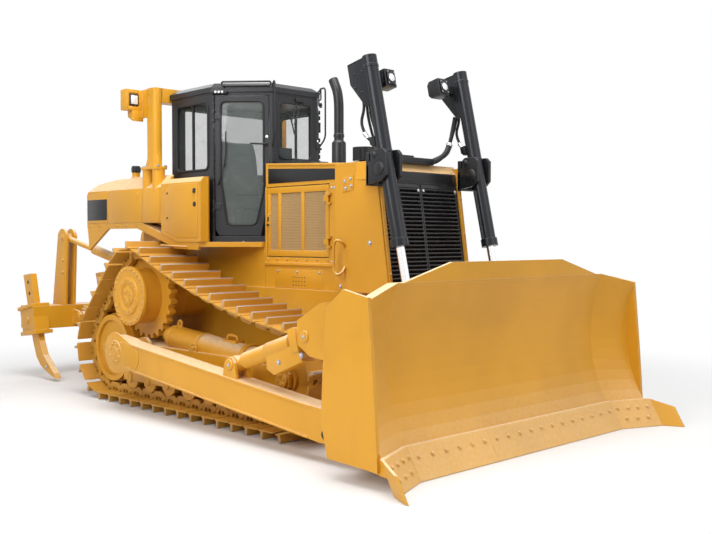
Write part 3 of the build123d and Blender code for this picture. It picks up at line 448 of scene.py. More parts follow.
class Finish(Enum):
    """Every finish of the machine."""

    YELLOW = Paint("machine_yellow", (0.645, 0.305, 0.018))
    EDGE = Paint("edge_paint", (0.66, 0.335, 0.04), roughness=0.42)
    TRACK = WornPaint("track_paint", (0.52, 0.255, 0.030))
    WHEEL = WornPaint("wheel_paint", (0.66, 0.315, 0.022), wear=0.15)
    # The dark finishes below take lighter greys on their tops and edges: painted sheen and painted
    # highlights, with a little dusty film.
    BLACK = Paint("machine_black", (0.011, 0.0115, 0.013), roughness=0.32, dust_and_sheen=0.10,
                  dust_and_sheen_colour=(0.12, 0.12, 0.12), edge_wear_and_highlight_colour=(0.13, 0.135, 0.145), edge_wear_and_highlight_share=0.6)
    GRILLE = Paint("grille_black", (0.022, 0.023, 0.026), roughness=0.26, dust_and_sheen=0.25,
                   dust_and_sheen_colour=(0.2, 0.21, 0.23), edge_wear_and_highlight_colour=(0.2, 0.21, 0.23), edge_wear_and_highlight_share=0.4, coat=0.3)
    CHARCOAL = Paint("cab_charcoal", (0.019, 0.020, 0.024), roughness=0.32, dust_and_sheen=0.15,
                     dust_and_sheen_colour=(0.12, 0.125, 0.13), edge_wear_and_highlight_colour=(0.14, 0.145, 0.155), edge_wear_and_highlight_share=0.6)
    BARREL = Paint("barrel_paint", (0.013, 0.0145, 0.018), roughness=0.22, dust_and_sheen=0.05,
                   dust_and_sheen_colour=(0.2, 0.2, 0.2), edge_wear_and_highlight_colour=(0.22, 0.23, 0.25), edge_wear_and_highlight_share=0.6, coat=0.12,
                   gloss=0.22)
    GLASS = TintedGlass("pane_glass", (0.10, 0.125, 0.12), alpha=0.13)
    DOOR_GLASS = TintedGlass("door_glass", (0.13, 0.155, 0.148), alpha=0.36)
    CHROME = BareMetal("plated_rod", (0.95, 0.95, 0.95), roughness=0.12)
    STEEL = BareMetal("fastener_steel", (0.52, 0.52, 0.54), roughness=0.32)
    IRON = WornPaint("block_iron", (0.30, 0.26, 0.18), wear=0.2)
    LENS = LampLens("lamp_lens", (0.92, 0.93, 0.95))
    RUBBER = Rubber("black_rubber", (0.012, 0.012, 0.013))
    PLASTIC = Rubber("console_plastic", (0.035, 0.036, 0.04), roughness=0.48)
    CLOTH = SeatCloth("seat_cloth", (0.055, 0.056, 0.062))
    MESH = Paint("mesh_paint", (0.52, 0.33, 0.14), roughness=0.5, dust_and_sheen=0.1, edge_wear_and_highlight_share=0.2, coat=0.0)

    def material(self) -> bpy.types.Material:
        """The finish's material, made once."""
        found = bpy.data.materials.get(self.value.name)
        return found or self.value.build()


class Slot(Enum):
    """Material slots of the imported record."""

    YELLOW = "yellow_paint"
    TRACK = "track_steel"
    BLACK = "black_paint"
    CHARCOAL = "charcoal_paint"
    CHROME = "chrome_rod"


def settle(piece: bpy.types.Object, body: str, slot: Slot, *replaced: str) -> None:
    """Fix a finished piece on its body.

    Args:
        piece: The piece.
        body: Body that it moves with.
        slot: Slot of the record; not used.
        replaced: Nodes that it stands for.
    """
    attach(piece, body)
    if replaced:
        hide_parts(*replaced)
    LOG.info("%s rides on %s, %d faces", piece.name, body, len(piece.data.polygons))


def eased(points: Sequence[Vector], radius: float, steps: int = 5, closed: bool = False) -> list[Vector]:
    """Line with its corners rounded.

    Args:
        points: Corners of the line.
        radius: How far from a corner the rounding starts, in millimetres.
        steps: Points in each rounding.
        closed: Whether the line returns to its start.

    Returns:
        Points of the rounded line.
    """
    result: list[Vector] = []
    count = len(points)
    for i, corner in enumerate(points):
        if not closed and i in (0, count - 1):
            result.append(corner.copy())
            continue
        before = points[i - 1] - corner
        after = points[(i + 1) % count] - corner
        start = corner + before.normalized() * min(mm(radius), before.length * 0.48)
        end = corner + after.normalized() * min(mm(radius), after.length * 0.48)
        for k in range(steps + 1):
            t = k / steps
            result.append(start * (1 - t) ** 2 + corner * (2 * t * (1 - t)) + end * t ** 2)
    return result


def wrapped(circles: Sequence[Point], y: float, steps: int = 24) -> list[Vector]:
    """Outline drawn tight round circles in a plane along the machine.

    Args:
        circles: X, Z and radius of each circle.
        y: Place of the plane.
        steps: Points on each circle.

    Returns:
        Corners of the outline.
    """
    turns = [2 * math.pi * k / steps for k in range(steps)]
    points = sorted({(round(x + r * math.cos(a), 3), round(z + r * math.sin(a), 3)) for x, z, r in circles
                     for a in turns})

    def leftward(a: Pair, b: Pair, c: Pair) -> bool:
        """Whether the way from a over b to c turns left."""
        return (b[0] - a[0]) * (c[1] - a[1]) > (b[1] - a[1]) * (c[0] - a[0])

    def chain(row: Sequence[Pair]) -> list[Pair]:
        """Half of the outline, without its last corner."""
        kept: list[Pair] = []
        for p in row:
            while len(kept) > 1 and not leftward(*kept[-2:], p):
                kept.pop()
            kept.append(p)
        return kept[:-1]

    return [at(x, y, z) for x, z in chain(points) + chain(points[::-1])]


class Shaper:
    """Builds one piece out of closed shapes."""

    def __init__(self) -> None:
        """Start with an empty mesh."""
        self.mesh = bmesh.new()

    def _close(self, faces: list[bmesh.types.BMFace], bevel: float, layer: int) -> None:
        """Point a new shape's faces outward and ease its edges."""
        bmesh.ops.recalc_face_normals(self.mesh, faces=faces)
        for face in faces:
            face.material_index = layer
        if bevel > 0:
            edges = list({edge for face in faces for edge in face.edges})
            bmesh.ops.bevel(self.mesh, geom=edges, offset=mm(bevel), segments=2, profile=0.6, affect="EDGES",
                            clamp_overlap=True)

    def prism(self, outline: Sequence[Vector], depth: Vector, bevel: float = 0.0, layer: int = 0) -> None:
        """Push a flat outline through a depth.

        Args:
            outline: Corners of the outline.
            depth: Way from the first face to the last.
            bevel: Width of the eased edges in millimetres.
            layer: Index of its finish.
        """
        low = [self.mesh.verts.new(p) for p in outline]
        high = [self.mesh.verts.new(p + depth) for p in outline]
        faces = [self.mesh.faces.new(low[::-1]), self.mesh.faces.new(high)]
        for i in range(len(outline)):
            j = (i + 1) % len(outline)
            faces.append(self.mesh.faces.new((low[i], low[j], high[j], high[i])))
        self._close(faces, bevel, layer)

    def box(self, low: Vector, high: Vector, bevel: float = 3.0, layer: int = 0) -> None:
        """Block between two corners with eased edges."""
        outline = [Vector((x, y, low.z)) for x, y in ((low.x, low.y), (high.x, low.y), (high.x, high.y),
                (low.x, high.y))]
        self.prism(outline, Vector((0, 0, high.z - low.z)), bevel, layer)

    def _ring(self, centre: Vector, normal: Vector, side: Vector, radius: float,
              sides: int) -> list[bmesh.types.BMVert]:
        """Circle of points in the plane of two directions, with the radius in millimetres."""
        ways = [normal * math.cos(a) + side * math.sin(a) for a in (2 * math.pi * k / sides
                for k in range(sides))]
        return [self.mesh.verts.new(centre + way * mm(radius)) for way in ways]

    def tube(self, path: Sequence[Vector], radius: float, sides: int = 10, closed: bool = False,
             layer: int = 0) -> None:
        """Round bar along a path.

        Args:
            path: Points of its middle line.
            radius: Its radius in millimetres.
            sides: Corners of its section.
            closed: Whether it returns to its start.
            layer: Index of its finish.
        """
        count = len(path)
        normal = Vector((0, 0, 1))
        rings = []
        for i, point in enumerate(path):
            before = path[i - 1] if i or closed else point
            after = path[(i + 1) % count] if i < count - 1 or closed else point
            tangent = (after - before).normalized()
            normal = normal - tangent * normal.dot(tangent)
            if normal.length < 0.05:
                normal = tangent.orthogonal()
            normal.normalize()
            side = tangent.cross(normal)
            rings.append(self._ring(point, normal, side, radius, sides))
        self._skin(rings, closed, layer)

    def turned(self, start: Vector, axis: Vector, profile: Sequence[Pair], sides: int = 24, layer: int = 0,
               ring: bool = False) -> None:
        """Turn a profile about an axis.

        Args:
            start: Point on the axis.
            axis: Direction of the axis.
            profile: Distances along the axis and radii in millimetres.
            sides: Corners of its section.
            layer: Index of its finish.
            ring: Whether the profile returns to its start, round an open middle.
        """
        along = axis.normalized()
        normal = along.orthogonal().normalized()
        side = along.cross(normal)
        rings = []
        for distance, radius in profile:
            centre = start + along * mm(distance)
            rings.append(self._ring(centre, normal, side, radius, sides))
        self._skin(rings, ring, layer)

    def loft(self, outlines: Sequence[Sequence[Vector]], layer: int = 0) -> None:
        """Join outlines with as many corners each into one closed body."""
        self._skin([[self.mesh.verts.new(p) for p in outline] for outline in outlines], False, layer)

    def _skin(self, rings: list[list[bmesh.types.BMVert]], closed: bool, layer: int) -> None:
        """Join rings of points into a closed skin."""
        faces = []
        pairs = list(zip(rings, rings[1:]))
        if closed:
            pairs.append((rings[-1], rings[0]))
        else:
            faces += [self.mesh.faces.new(rings[0][::-1]), self.mesh.faces.new(rings[-1])]
        for low, high in pairs:
            for i in range(len(low)):
                j = (i + 1) % len(low)
                faces.append(self.mesh.faces.new((low[i], low[j], high[j], high[i])))
        self._close(faces, 0.0, layer)

    def piece(self, name: str, *finishes: Finish, crease: float = 35.0) -> bpy.types.Object:
        """Turn the shapes into one object.

        Args:
            name: Name of the piece.
            finishes: Its finishes, by layer.
            crease: Angle in degrees over which an edge stays sharp.

        Returns:
            The object, at the origin.
        """
        for face in self.mesh.faces:
            face.smooth = True
        for edge in self.mesh.edges:
            edge.smooth = edge.is_manifold and edge.calc_face_angle(0.0) < math.radians(crease)
        mesh = bpy.data.meshes.new(name)
        self.mesh.to_mesh(mesh)
        self.mesh.free()
        for finish in finishes:
            mesh.materials.append(finish.material())
        return link(name, mesh)


def link(name: str, mesh: bpy.types.Mesh) -> bpy.types.Object:
    """New object of a mesh, in the scene."""
    thing = bpy.data.objects.new(name, mesh)
    bpy.context.scene.collection.objects.link(thing)
    return thing


class Rule:
    """Geometry Nodes tree with named inputs."""

    def __init__(self, name: str, **inputs: str) -> None:
        """Start a tree.

        Args:
            name: Name of the tree.
            inputs: Socket types by input name.
        """
        self.tree = bpy.data.node_groups.new(name, "GeometryNodeTree")
        self.tree.interface.new_socket("Points", in_out="INPUT", socket_type="NodeSocketGeometry")
        for label, kind in inputs.items():
            self.tree.interface.new_socket(label, in_out="INPUT", socket_type=kind)
        self.tree.interface.new_socket("Shape", in_out="OUTPUT", socket_type="NodeSocketGeometry")
        self.entry = self.tree.nodes.new("NodeGroupInput")

    def value(self, label: str) -> bpy.types.NodeSocket:
        """Socket of a named input."""
        return self.entry.outputs[label]

    def add(self, kind: str, settings: dict | None = None, sockets: dict | None = None,
            output: int | str = 0) -> bpy.types.NodeSocket:
        """Add any node.

        Args:
            kind: Blender's name of the node type.
            settings: Properties set first.
            sockets: Values, links or lists of links by input name or index.
            output: Name or index of the output to return.

        Returns:
            The chosen output, or an input of a node that has no outputs.
        """
        node = self.tree.nodes.new(kind)
        for name, value in (settings or {}).items():
            setattr(node, name, value)
        for key, value in (sockets or {}).items():
            for entry in value if isinstance(value, list) else [value]:
                if isinstance(entry, bpy.types.NodeSocket):
                    self.tree.links.new(entry, node.inputs[key])
                else:
                    node.inputs[key].default_value = entry
        return (node.outputs or node.inputs)[output]

    def named(self, label: str, kind: str) -> bpy.types.NodeSocket:
        """Attribute of the points."""
        return self.add("GeometryNodeInputNamedAttribute", {"data_type": kind}, {"Name": label}, "Attribute")

    def aimed(self, label: str, axis: str, rotation: bpy.types.NodeSocket | None = None,
              pivot: str = "AUTO") -> bpy.types.NodeSocket:
        """Rotation that turns an axis to a vector attribute of the points."""
        sockets = {"Vector": self.named(label, "FLOAT_VECTOR")}
        if rotation is not None:
            sockets["Rotation"] = rotation
        return self.add("FunctionNodeAlignRotationToVector", {"axis": axis, "pivot_axis": pivot}, sockets)

    def close(self, shape: bpy.types.NodeSocket) -> None:
        """End the tree in plain geometry with its finish."""
        plain = self.add("GeometryNodeRealizeInstances", sockets={"Geometry": shape})
        sockets = {"Geometry": plain, "Material": self.value("Finish")}
        self.add("NodeGroupOutput", sockets={"Shape": self.add("GeometryNodeSetMaterial", sockets=sockets)})

    def run(self, host: bpy.types.Object, **values: object) -> bpy.types.Object:
        """Give an object the tree's result as its plain mesh.

        Args:
            host: Object with the points.
            values: Values by input name.

        Returns:
            The object.
        """
        modifier = host.modifiers.new("rule", "NODES")
        modifier.node_group = self.tree
        for item in self.tree.interface.items_tree:
            if item.in_out == "INPUT" and item.name in values:
                modifier[item.identifier] = values[item.name]
        bpy.context.view_layer.update()
        graph = bpy.context.evaluated_depsgraph_get()
        mesh = bpy.data.meshes.new_from_object(host.evaluated_get(graph))
        host.modifiers.remove(modifier)
        mesh.name = host.name
        host.data = mesh
        return host


def points_object(name: str, points: Sequence[Vector], **vectors: Sequence[Vector]) -> bpy.types.Object:
    """Object of bare points.

    Args:
        name: Name of the object.
        points: The points.
        vectors: Vector attributes by name, one vector for each point.

    Returns:
        The object.
    """
    mesh = bpy.data.meshes.new(name)
    mesh.from_pydata([tuple(p) for p in points], [], [])
    for label, values in vectors.items():
        layer = mesh.attributes.new(label, "FLOAT_VECTOR", "POINT")
        for i, vector in enumerate(values):
            layer.data[i].vector = vector
    return link(name, mesh)


@dataclass
class Fasteners:
    """Hexagon bolts with washers, gathered by body and finish, then made by one rule."""

    washer: float = 1.45
    height: float = 0.75
    rows: dict[tuple[str, Finish], list[tuple[Vector, Vector, float]]] = field(default_factory=dict)

    def bolt(self, body: str, place: Vector, aim: Vector, size: float,
             finish: Finish = Finish.YELLOW) -> None:
        """Keep one bolt.

        Args:
            body: Body that it moves with.
            place: Point on the surface that it sits on.
            aim: Direction that its head points to.
            size: Radius of its head in millimetres.
            finish: Its finish.
        """
        self.rows.setdefault((body, finish), []).append((place, aim.normalized(), mm(size)))

    def ring(self, body: str, centre: Vector, axis: Vector, radius: float, count: int, size: float,
             finish: Finish = Finish.YELLOW) -> None:
        """Keep a circle of bolts about an axis, with the radius and size in millimetres."""
        across = axis.orthogonal().normalized()
        other = axis.normalized().cross(across)
        for i in range(count):
            turn = 2 * math.pi * (i + 0.5) / count
            place = centre + (across * math.cos(turn) + other * math.sin(turn)) * mm(radius)
            self.bolt(body, place, axis, size, finish)

    def row(self, body: str, start: Vector, end: Vector, count: int, aim: Vector, size: float,
            finish: Finish = Finish.YELLOW) -> None:
        """Keep a straight row of bolts, with the size in millimetres."""
        for i in range(count):
            self.bolt(body, start.lerp(end, i / max(1, count - 1)), aim, size, finish)

    def rule(self) -> Rule:
        """Tree that sets one bolt on each point, as long as its aim."""
        rule = Rule("bolt_rule", Washer="NodeSocketFloat", Height="NodeSocketFloat",
                    Finish="NodeSocketMaterial")
        shapes = []
        for kind, sockets, rise in (("GeometryNodeMeshCylinder",
                                     {"Vertices": 14, "Radius": rule.value("Washer"), "Depth": 0.3}, 0.1),
                                    ("GeometryNodeMeshCylinder",
                                     {"Vertices": 6, "Radius": 1.0, "Depth": rule.value("Height")}, 0.5),
                                    ("GeometryNodeMeshCone", {"Vertices": 6, "Radius Top": 0.72,
                "Radius Bottom": 1.0, "Depth": 0.16}, 0.875)):
            solid = rule.add(kind, sockets=sockets, output="Mesh")
            shapes.append(rule.add("GeometryNodeTransform", sockets={"Geometry": solid,
                    "Translation": (0.0, 0.0, rise)}))
        head = rule.add("GeometryNodeJoinGeometry", sockets={"Geometry": shapes})
        length = rule.add("ShaderNodeVectorMath", {"operation": "LENGTH"},
                          {0: rule.named("aim", "FLOAT_VECTOR")}, "Value")
        sockets = {"Points": rule.value("Points"), "Instance": head, "Rotation": rule.aimed("aim", "Z"),
                   "Scale": length}
        rule.close(rule.add("GeometryNodeInstanceOnPoints", sockets=sockets))
        return rule

    def build(self) -> None:
        """Make one piece for each body and finish."""
        rule = self.rule()
        slots = {Finish.STEEL: Slot.CHROME, Finish.BLACK: Slot.BLACK}
        for (body, finish), bolts in self.rows.items():
            name = f"bolts_{finish.name.lower()}_{body}"
            host = points_object(name, [b[0] for b in bolts], aim=[b[1] * b[2] for b in bolts])
            rule.run(host, Washer=self.washer, Height=self.height, Finish=finish.material())
            settle(host, body, slots.get(finish, Slot.YELLOW))


@dataclass
class TrackChain:
    """Track chain: shoes with bars, link pairs with windows, pins and shoe bolts."""

    y: float = 990.0
    width: float = 560.0
    count: int = 41
    pin_to_plate: float = 56.0
    plate: float = 16.0
    bar: float = 70.0
    drop: float = 52.0
    rail: float = 92.0
    rail_width: float = 52.0
    half: float = 102.0
    sag: float = 90.0
    rear: Point = (-1466.0, 546.0, 420.0)
    drive: Point = (-880.0, 1135.0, 434.0)
    front: Point = (1500.0, 522.0, 396.0)

    @staticmethod
    def tangent(a: Point, b: Point) -> float:
        """Angle of the outer tangent's normal between two wheels."""
        dx = b[0] - a[0]
        dz = b[1] - a[1]
        spread = (a[2] - b[2]) / math.hypot(dx, dz)
        return math.atan2(dz, dx) + math.pi / 2 - math.atan2(spread, math.sqrt(1 - spread * spread))

    def pin_line(self, step: float = 6.0) -> list[Pair]:
        """Points of the loop that the pins follow, from the ground run onward."""
        top = self.tangent(self.drive, self.front)
        back = self.tangent(self.rear, self.drive)
        ground = self.front[1] - self.front[2]
        path = []
        x = self.rear[0]
        while x < self.front[0]:
            path.append((x, ground))
            x += step
        path += self.arc(self.front, -math.pi / 2, top, step)
        start = path[-1]
        end = (self.drive[0] + self.drive[2] * math.cos(top), self.drive[1] + self.drive[2] * math.sin(top))
        count = math.ceil(math.hypot(end[0] - start[0], end[1] - start[1]) / step)
        for i in range(1, count):
            t = i / count
            dip = self.sag * 4 * t * (1 - t)
            path.append((start[0] + (end[0] - start[0]) * t, start[1] + (end[1] - start[1]) * t - dip))
        path += self.arc(self.drive, top, back, step)
        path += self.arc(self.rear, back, 3 * math.pi / 2, step)
        return path

    @staticmethod
    def arc(wheel: Point, start: float, end: float, step: float) -> list[Pair]:
        """Points round a wheel between two angles."""
        x, z, radius = wheel
        count = max(2, math.ceil(radius * (end - start) / step))
        turns = [start + (end - start) * i / count for i in range(count + 1)]
        return [(x + radius * math.cos(a), z + radius * math.sin(a)) for a in turns]

    def stations(self) -> list[Pair]:
        """Middle of each shoe and of each joint, in turn."""
        path = self.pin_line()
        path.append(path[0])
        lengths = [0.0]
        for a, b in zip(path, path[1:]):
            lengths.append(lengths[-1] + math.hypot(b[0] - a[0], b[1] - a[1]))
        marks = []
        k = 0
        for i in range(2 * self.count):
            goal = lengths[-1] * (i + 0.5) / (2 * self.count)
            while lengths[k + 1] < goal:
                k += 1
            a, b = path[k], path[k + 1]
            t = (goal - lengths[k]) / (lengths[k + 1] - lengths[k])
            marks.append((a[0] + (b[0] - a[0]) * t, a[1] + (b[1] - a[1]) * t))
        return marks

    def shoe(self) -> bpy.types.Object:
        """One shoe with its links, pin and bolts, along X with its bar up."""
        shaper = Shaper()
        top = self.pin_to_plate
        under = top - self.plate
        tip = top + self.bar
        side = self.width / 2

        def flat(points: Sequence[Pair], y0: float, y1: float, bevel: float) -> None:
            """Prism of a length and height outline between two widths."""
            outline = [by(x, y0, z) for x, z in points]
            shaper.prism(outline, by(0, y1 - y0, 0), bevel)

        profile = [(-self.half, under + 2), (-self.half, top - 3), (-self.half + 14, top), (-84, top),
                   (-76, top + 8), (-70, tip - 6), (-64, tip), (-51, tip), (-46, tip - 6), (-40, top + 8),
                   (-30, top), (64, top), (88, top - 2), (self.half, top - 9), (self.half, under),
                   (60, under), (-60, under)]
        flat(profile, -side, side, 2.0)
        for y in (-self.rail, self.rail):
            link_side = [(-96, under + 1), (-99, -4), (-84, -36), (-58, -self.drop), (58, -self.drop),
                         (84, -36), (99, -4), (96, under + 1), (52, under + 1), (46, 16), (26, 3), (10, 3),
                         (7, under + 1), (-7, under + 1), (-10, 3), (-26, 3), (-46, 16), (-52, under + 1)]
            flat(link_side, y - self.rail_width / 2, y + self.rail_width / 2, 2.5)
            for x in (-4.0, 58.0):
                shaper.turned(by(x, y, top - 2), UP, [(0, 20), (6, 20), (6, 14), (17, 14), (19, 11)], 6)
        shaper.turned(by(-self.half, -self.rail - 34, 0), Vector((0, 1, 0)),
                      [(0, 22), (4, 27), (2 * self.rail + 64, 27), (2 * self.rail + 68, 22)], 12)
        piece = shaper.piece("track_shoe", Finish.TRACK)
        rubbed = piece.data.attributes.new("rubbed", "FLOAT", "POINT")
        for i, vertex in enumerate(piece.data.vertices):
            rubbed.data[i].value = 1.0 if vertex.co.z > mm(tip - 5) else 0.0
        return piece

    def rule(self) -> Rule:
        """Tree that sets one shoe on each point of the loop."""
        rule = Rule("track_rule", Shoe="NodeSocketObject", Finish="NodeSocketMaterial")
        shoe = rule.add("GeometryNodeObjectInfo", sockets={"Object": rule.value("Shoe")}, output="Geometry")
        turned = rule.aimed("outward", "Z", rule.aimed("along", "X"), "X")
        sockets = {"Points": rule.value("Points"), "Instance": shoe, "Rotation": turned}
        rule.close(rule.add("GeometryNodeInstanceOnPoints", sockets=sockets))
        return rule

    def build(self) -> None:
        """Lay both chains round their wheels."""
        rule = self.rule()
        shoe = self.shoe()
        marks = self.stations()
        for side, sign in SIDES:
            points, along, outward = [], [], []
            for i in range(0, len(marks), 2):
                before, here, after = marks[i - 1], marks[i], marks[i + 1]
                way = Vector((after[0] - before[0], 0, after[1] - before[1])).normalized()
                points.append(at(here[0], sign * self.y, here[1]))
                along.append(way)
                outward.append(Vector((way.z, 0, -way.x)))
            host = points_object(f"track_chain_{side}", points, along=along, outward=outward)
            rule.run(host, Shoe=shoe, Finish=Finish.TRACK.material())
            settle(host, "tractor", Slot.TRACK, f"track_{side}")
        bpy.data.objects.remove(shoe)


@dataclass
class Undercarriage:
    """Covers and bolts of the drive hubs, rollers, idlers and recoil housings."""

    drive: Pair = (-880.0, 1135.0)
    hub_face: float = 1252.0
    idlers: tuple[Pair, ...] = ((-1466.0, 546.0), (1500.0, 522.0))
    roller_first: float = -1020.0
    roller_span: float = 2080.0
    roller_count: int = 7
    roller_z: float = 283.0
    plate_face: float = 1162.0
    shaft_face: float = 1180.0
    boss: Pair = (92.0, 664.0)
    boss_face: float = 1130.0

    def recoil(self, shaper: Shaper, sign: int) -> None:
        """Tail, collars, lifting eye, filler boss and clamp of one recoil spring tube."""
        rear = at(80, sign * 990, 690)
        way = at(1120, sign * 990, 600) - rear
        tail = ((-0.606, 58), (-0.6, 66), (-0.52, 104), (-0.49, 116), (0.0, 118), (0.06, 118))
        shaper.turned(rear, way, [(1000 * share * way.length, radius) for share, radius in tail], 36)
        for share, width, radius in ((-0.46, 26, 125), (0.02, 30, 126), (0.69, 52, 138), (0.955, 46, 134)):
            shaper.turned(rear + way * share, way, [(0, radius - 6), (5, radius), (width, radius),
                    (width + 5, radius - 6)], 36)
        eye = rear + way * -0.39 + by(0, 0, 148)
        ring = [eye + by(math.cos(a) * 29, 0, math.sin(a) * 29)
                for a in (2 * math.pi * k / 20 for k in range(20))]
        shaper.tube(ring, 13, 8, True)
        foot = [eye + by(x, -13, z) for x, z in ((-70, -52), (70, -52), (26, -22), (-26, -22))]
        shaper.prism(foot, by(0, 26, 0), 3)
        hook = rear + way * 0.455
        loop = [hook + by(x, 0, z) for x, z in ((-78, 104), (-70, 172), (78, 166), (86, 104))]
        shaper.tube(eased(loop, 40, 5), 15, 10)
        shaper.box(hook + by(-110, -52, 90), hook + by(112, 52, 128), 8)
        boss = at(self.boss[0], sign * (self.boss_face - 70), self.boss[1])
        shaper.turned(boss, Vector((0, sign, 0)), [(0, 66), (64, 66), (70, 60)], 28)

    def build(self, bolts: Fasteners) -> None:
        """Make the covers of both sides.

        Args:
            bolts: Collection that the bolts go to.
        """
        shaper = Shaper()
        for _, sign in SIDES:
            out = Vector((0, sign, 0))
            hub = at(self.drive[0], sign * self.hub_face, self.drive[1])
            bolts.ring("tractor", hub, out, 276, 28, 10)
            flange = [(0, 302), (-5, 305), (-34, 305), (-40, 292), (-40, 232), (-3, 232), (0, 240)]
            shaper.turned(hub, out, flange, 48, 0, True)
            cover = [(-3, 198), (9, 192), (12, 184), (12, 140), (4, 128), (-3, 128)]
            shaper.turned(hub, out, cover, 40, 0, True)
            bolts.ring("tractor", hub + out * mm(11), out, 162, 10, 9)
            shaper.turned(hub - out * mm(4), out, [(0, 96), (9, 94), (14, 82), (14, 40), (8, 34)], 32)
            bolts.ring("tractor", hub + out * mm(10), out, 62, 6, 7)
            self.recoil(shaper, sign)
            for i in range(self.roller_count):
                x = self.roller_first + self.roller_span * i / (self.roller_count - 1)
                cap = at(x, sign * (self.plate_face - 2), self.roller_z)
                shaper.turned(cap, out, [(0, 58), (10, 56), (14, 46), (14, 20), (9, 16)], 20)
                for dx in (-78, 78):
                    bolts.bolt("tractor", at(x + dx, sign * self.plate_face, self.roller_z + 118), out, 10)
            for x, z in self.idlers:
                end = at(x, sign * (self.shaft_face - 3), z)
                shaper.turned(end, out, [(0, 72), (9, 70), (12, 62), (12, 24), (6, 20)], 24)
                bolts.ring("tractor", end + out * mm(11), out, 44, 6, 8)
            boss = at(self.boss[0], sign * self.boss_face, self.boss[1])
            bolts.ring("tractor", boss, out, 46, 6, 9)
            shaper.turned(boss - out * mm(2), out, [(0, 28), (10, 26), (12, 20)], 16)
        settle(shaper.piece("undercarriage_caps", Finish.WHEEL), "tractor", Slot.YELLOW)


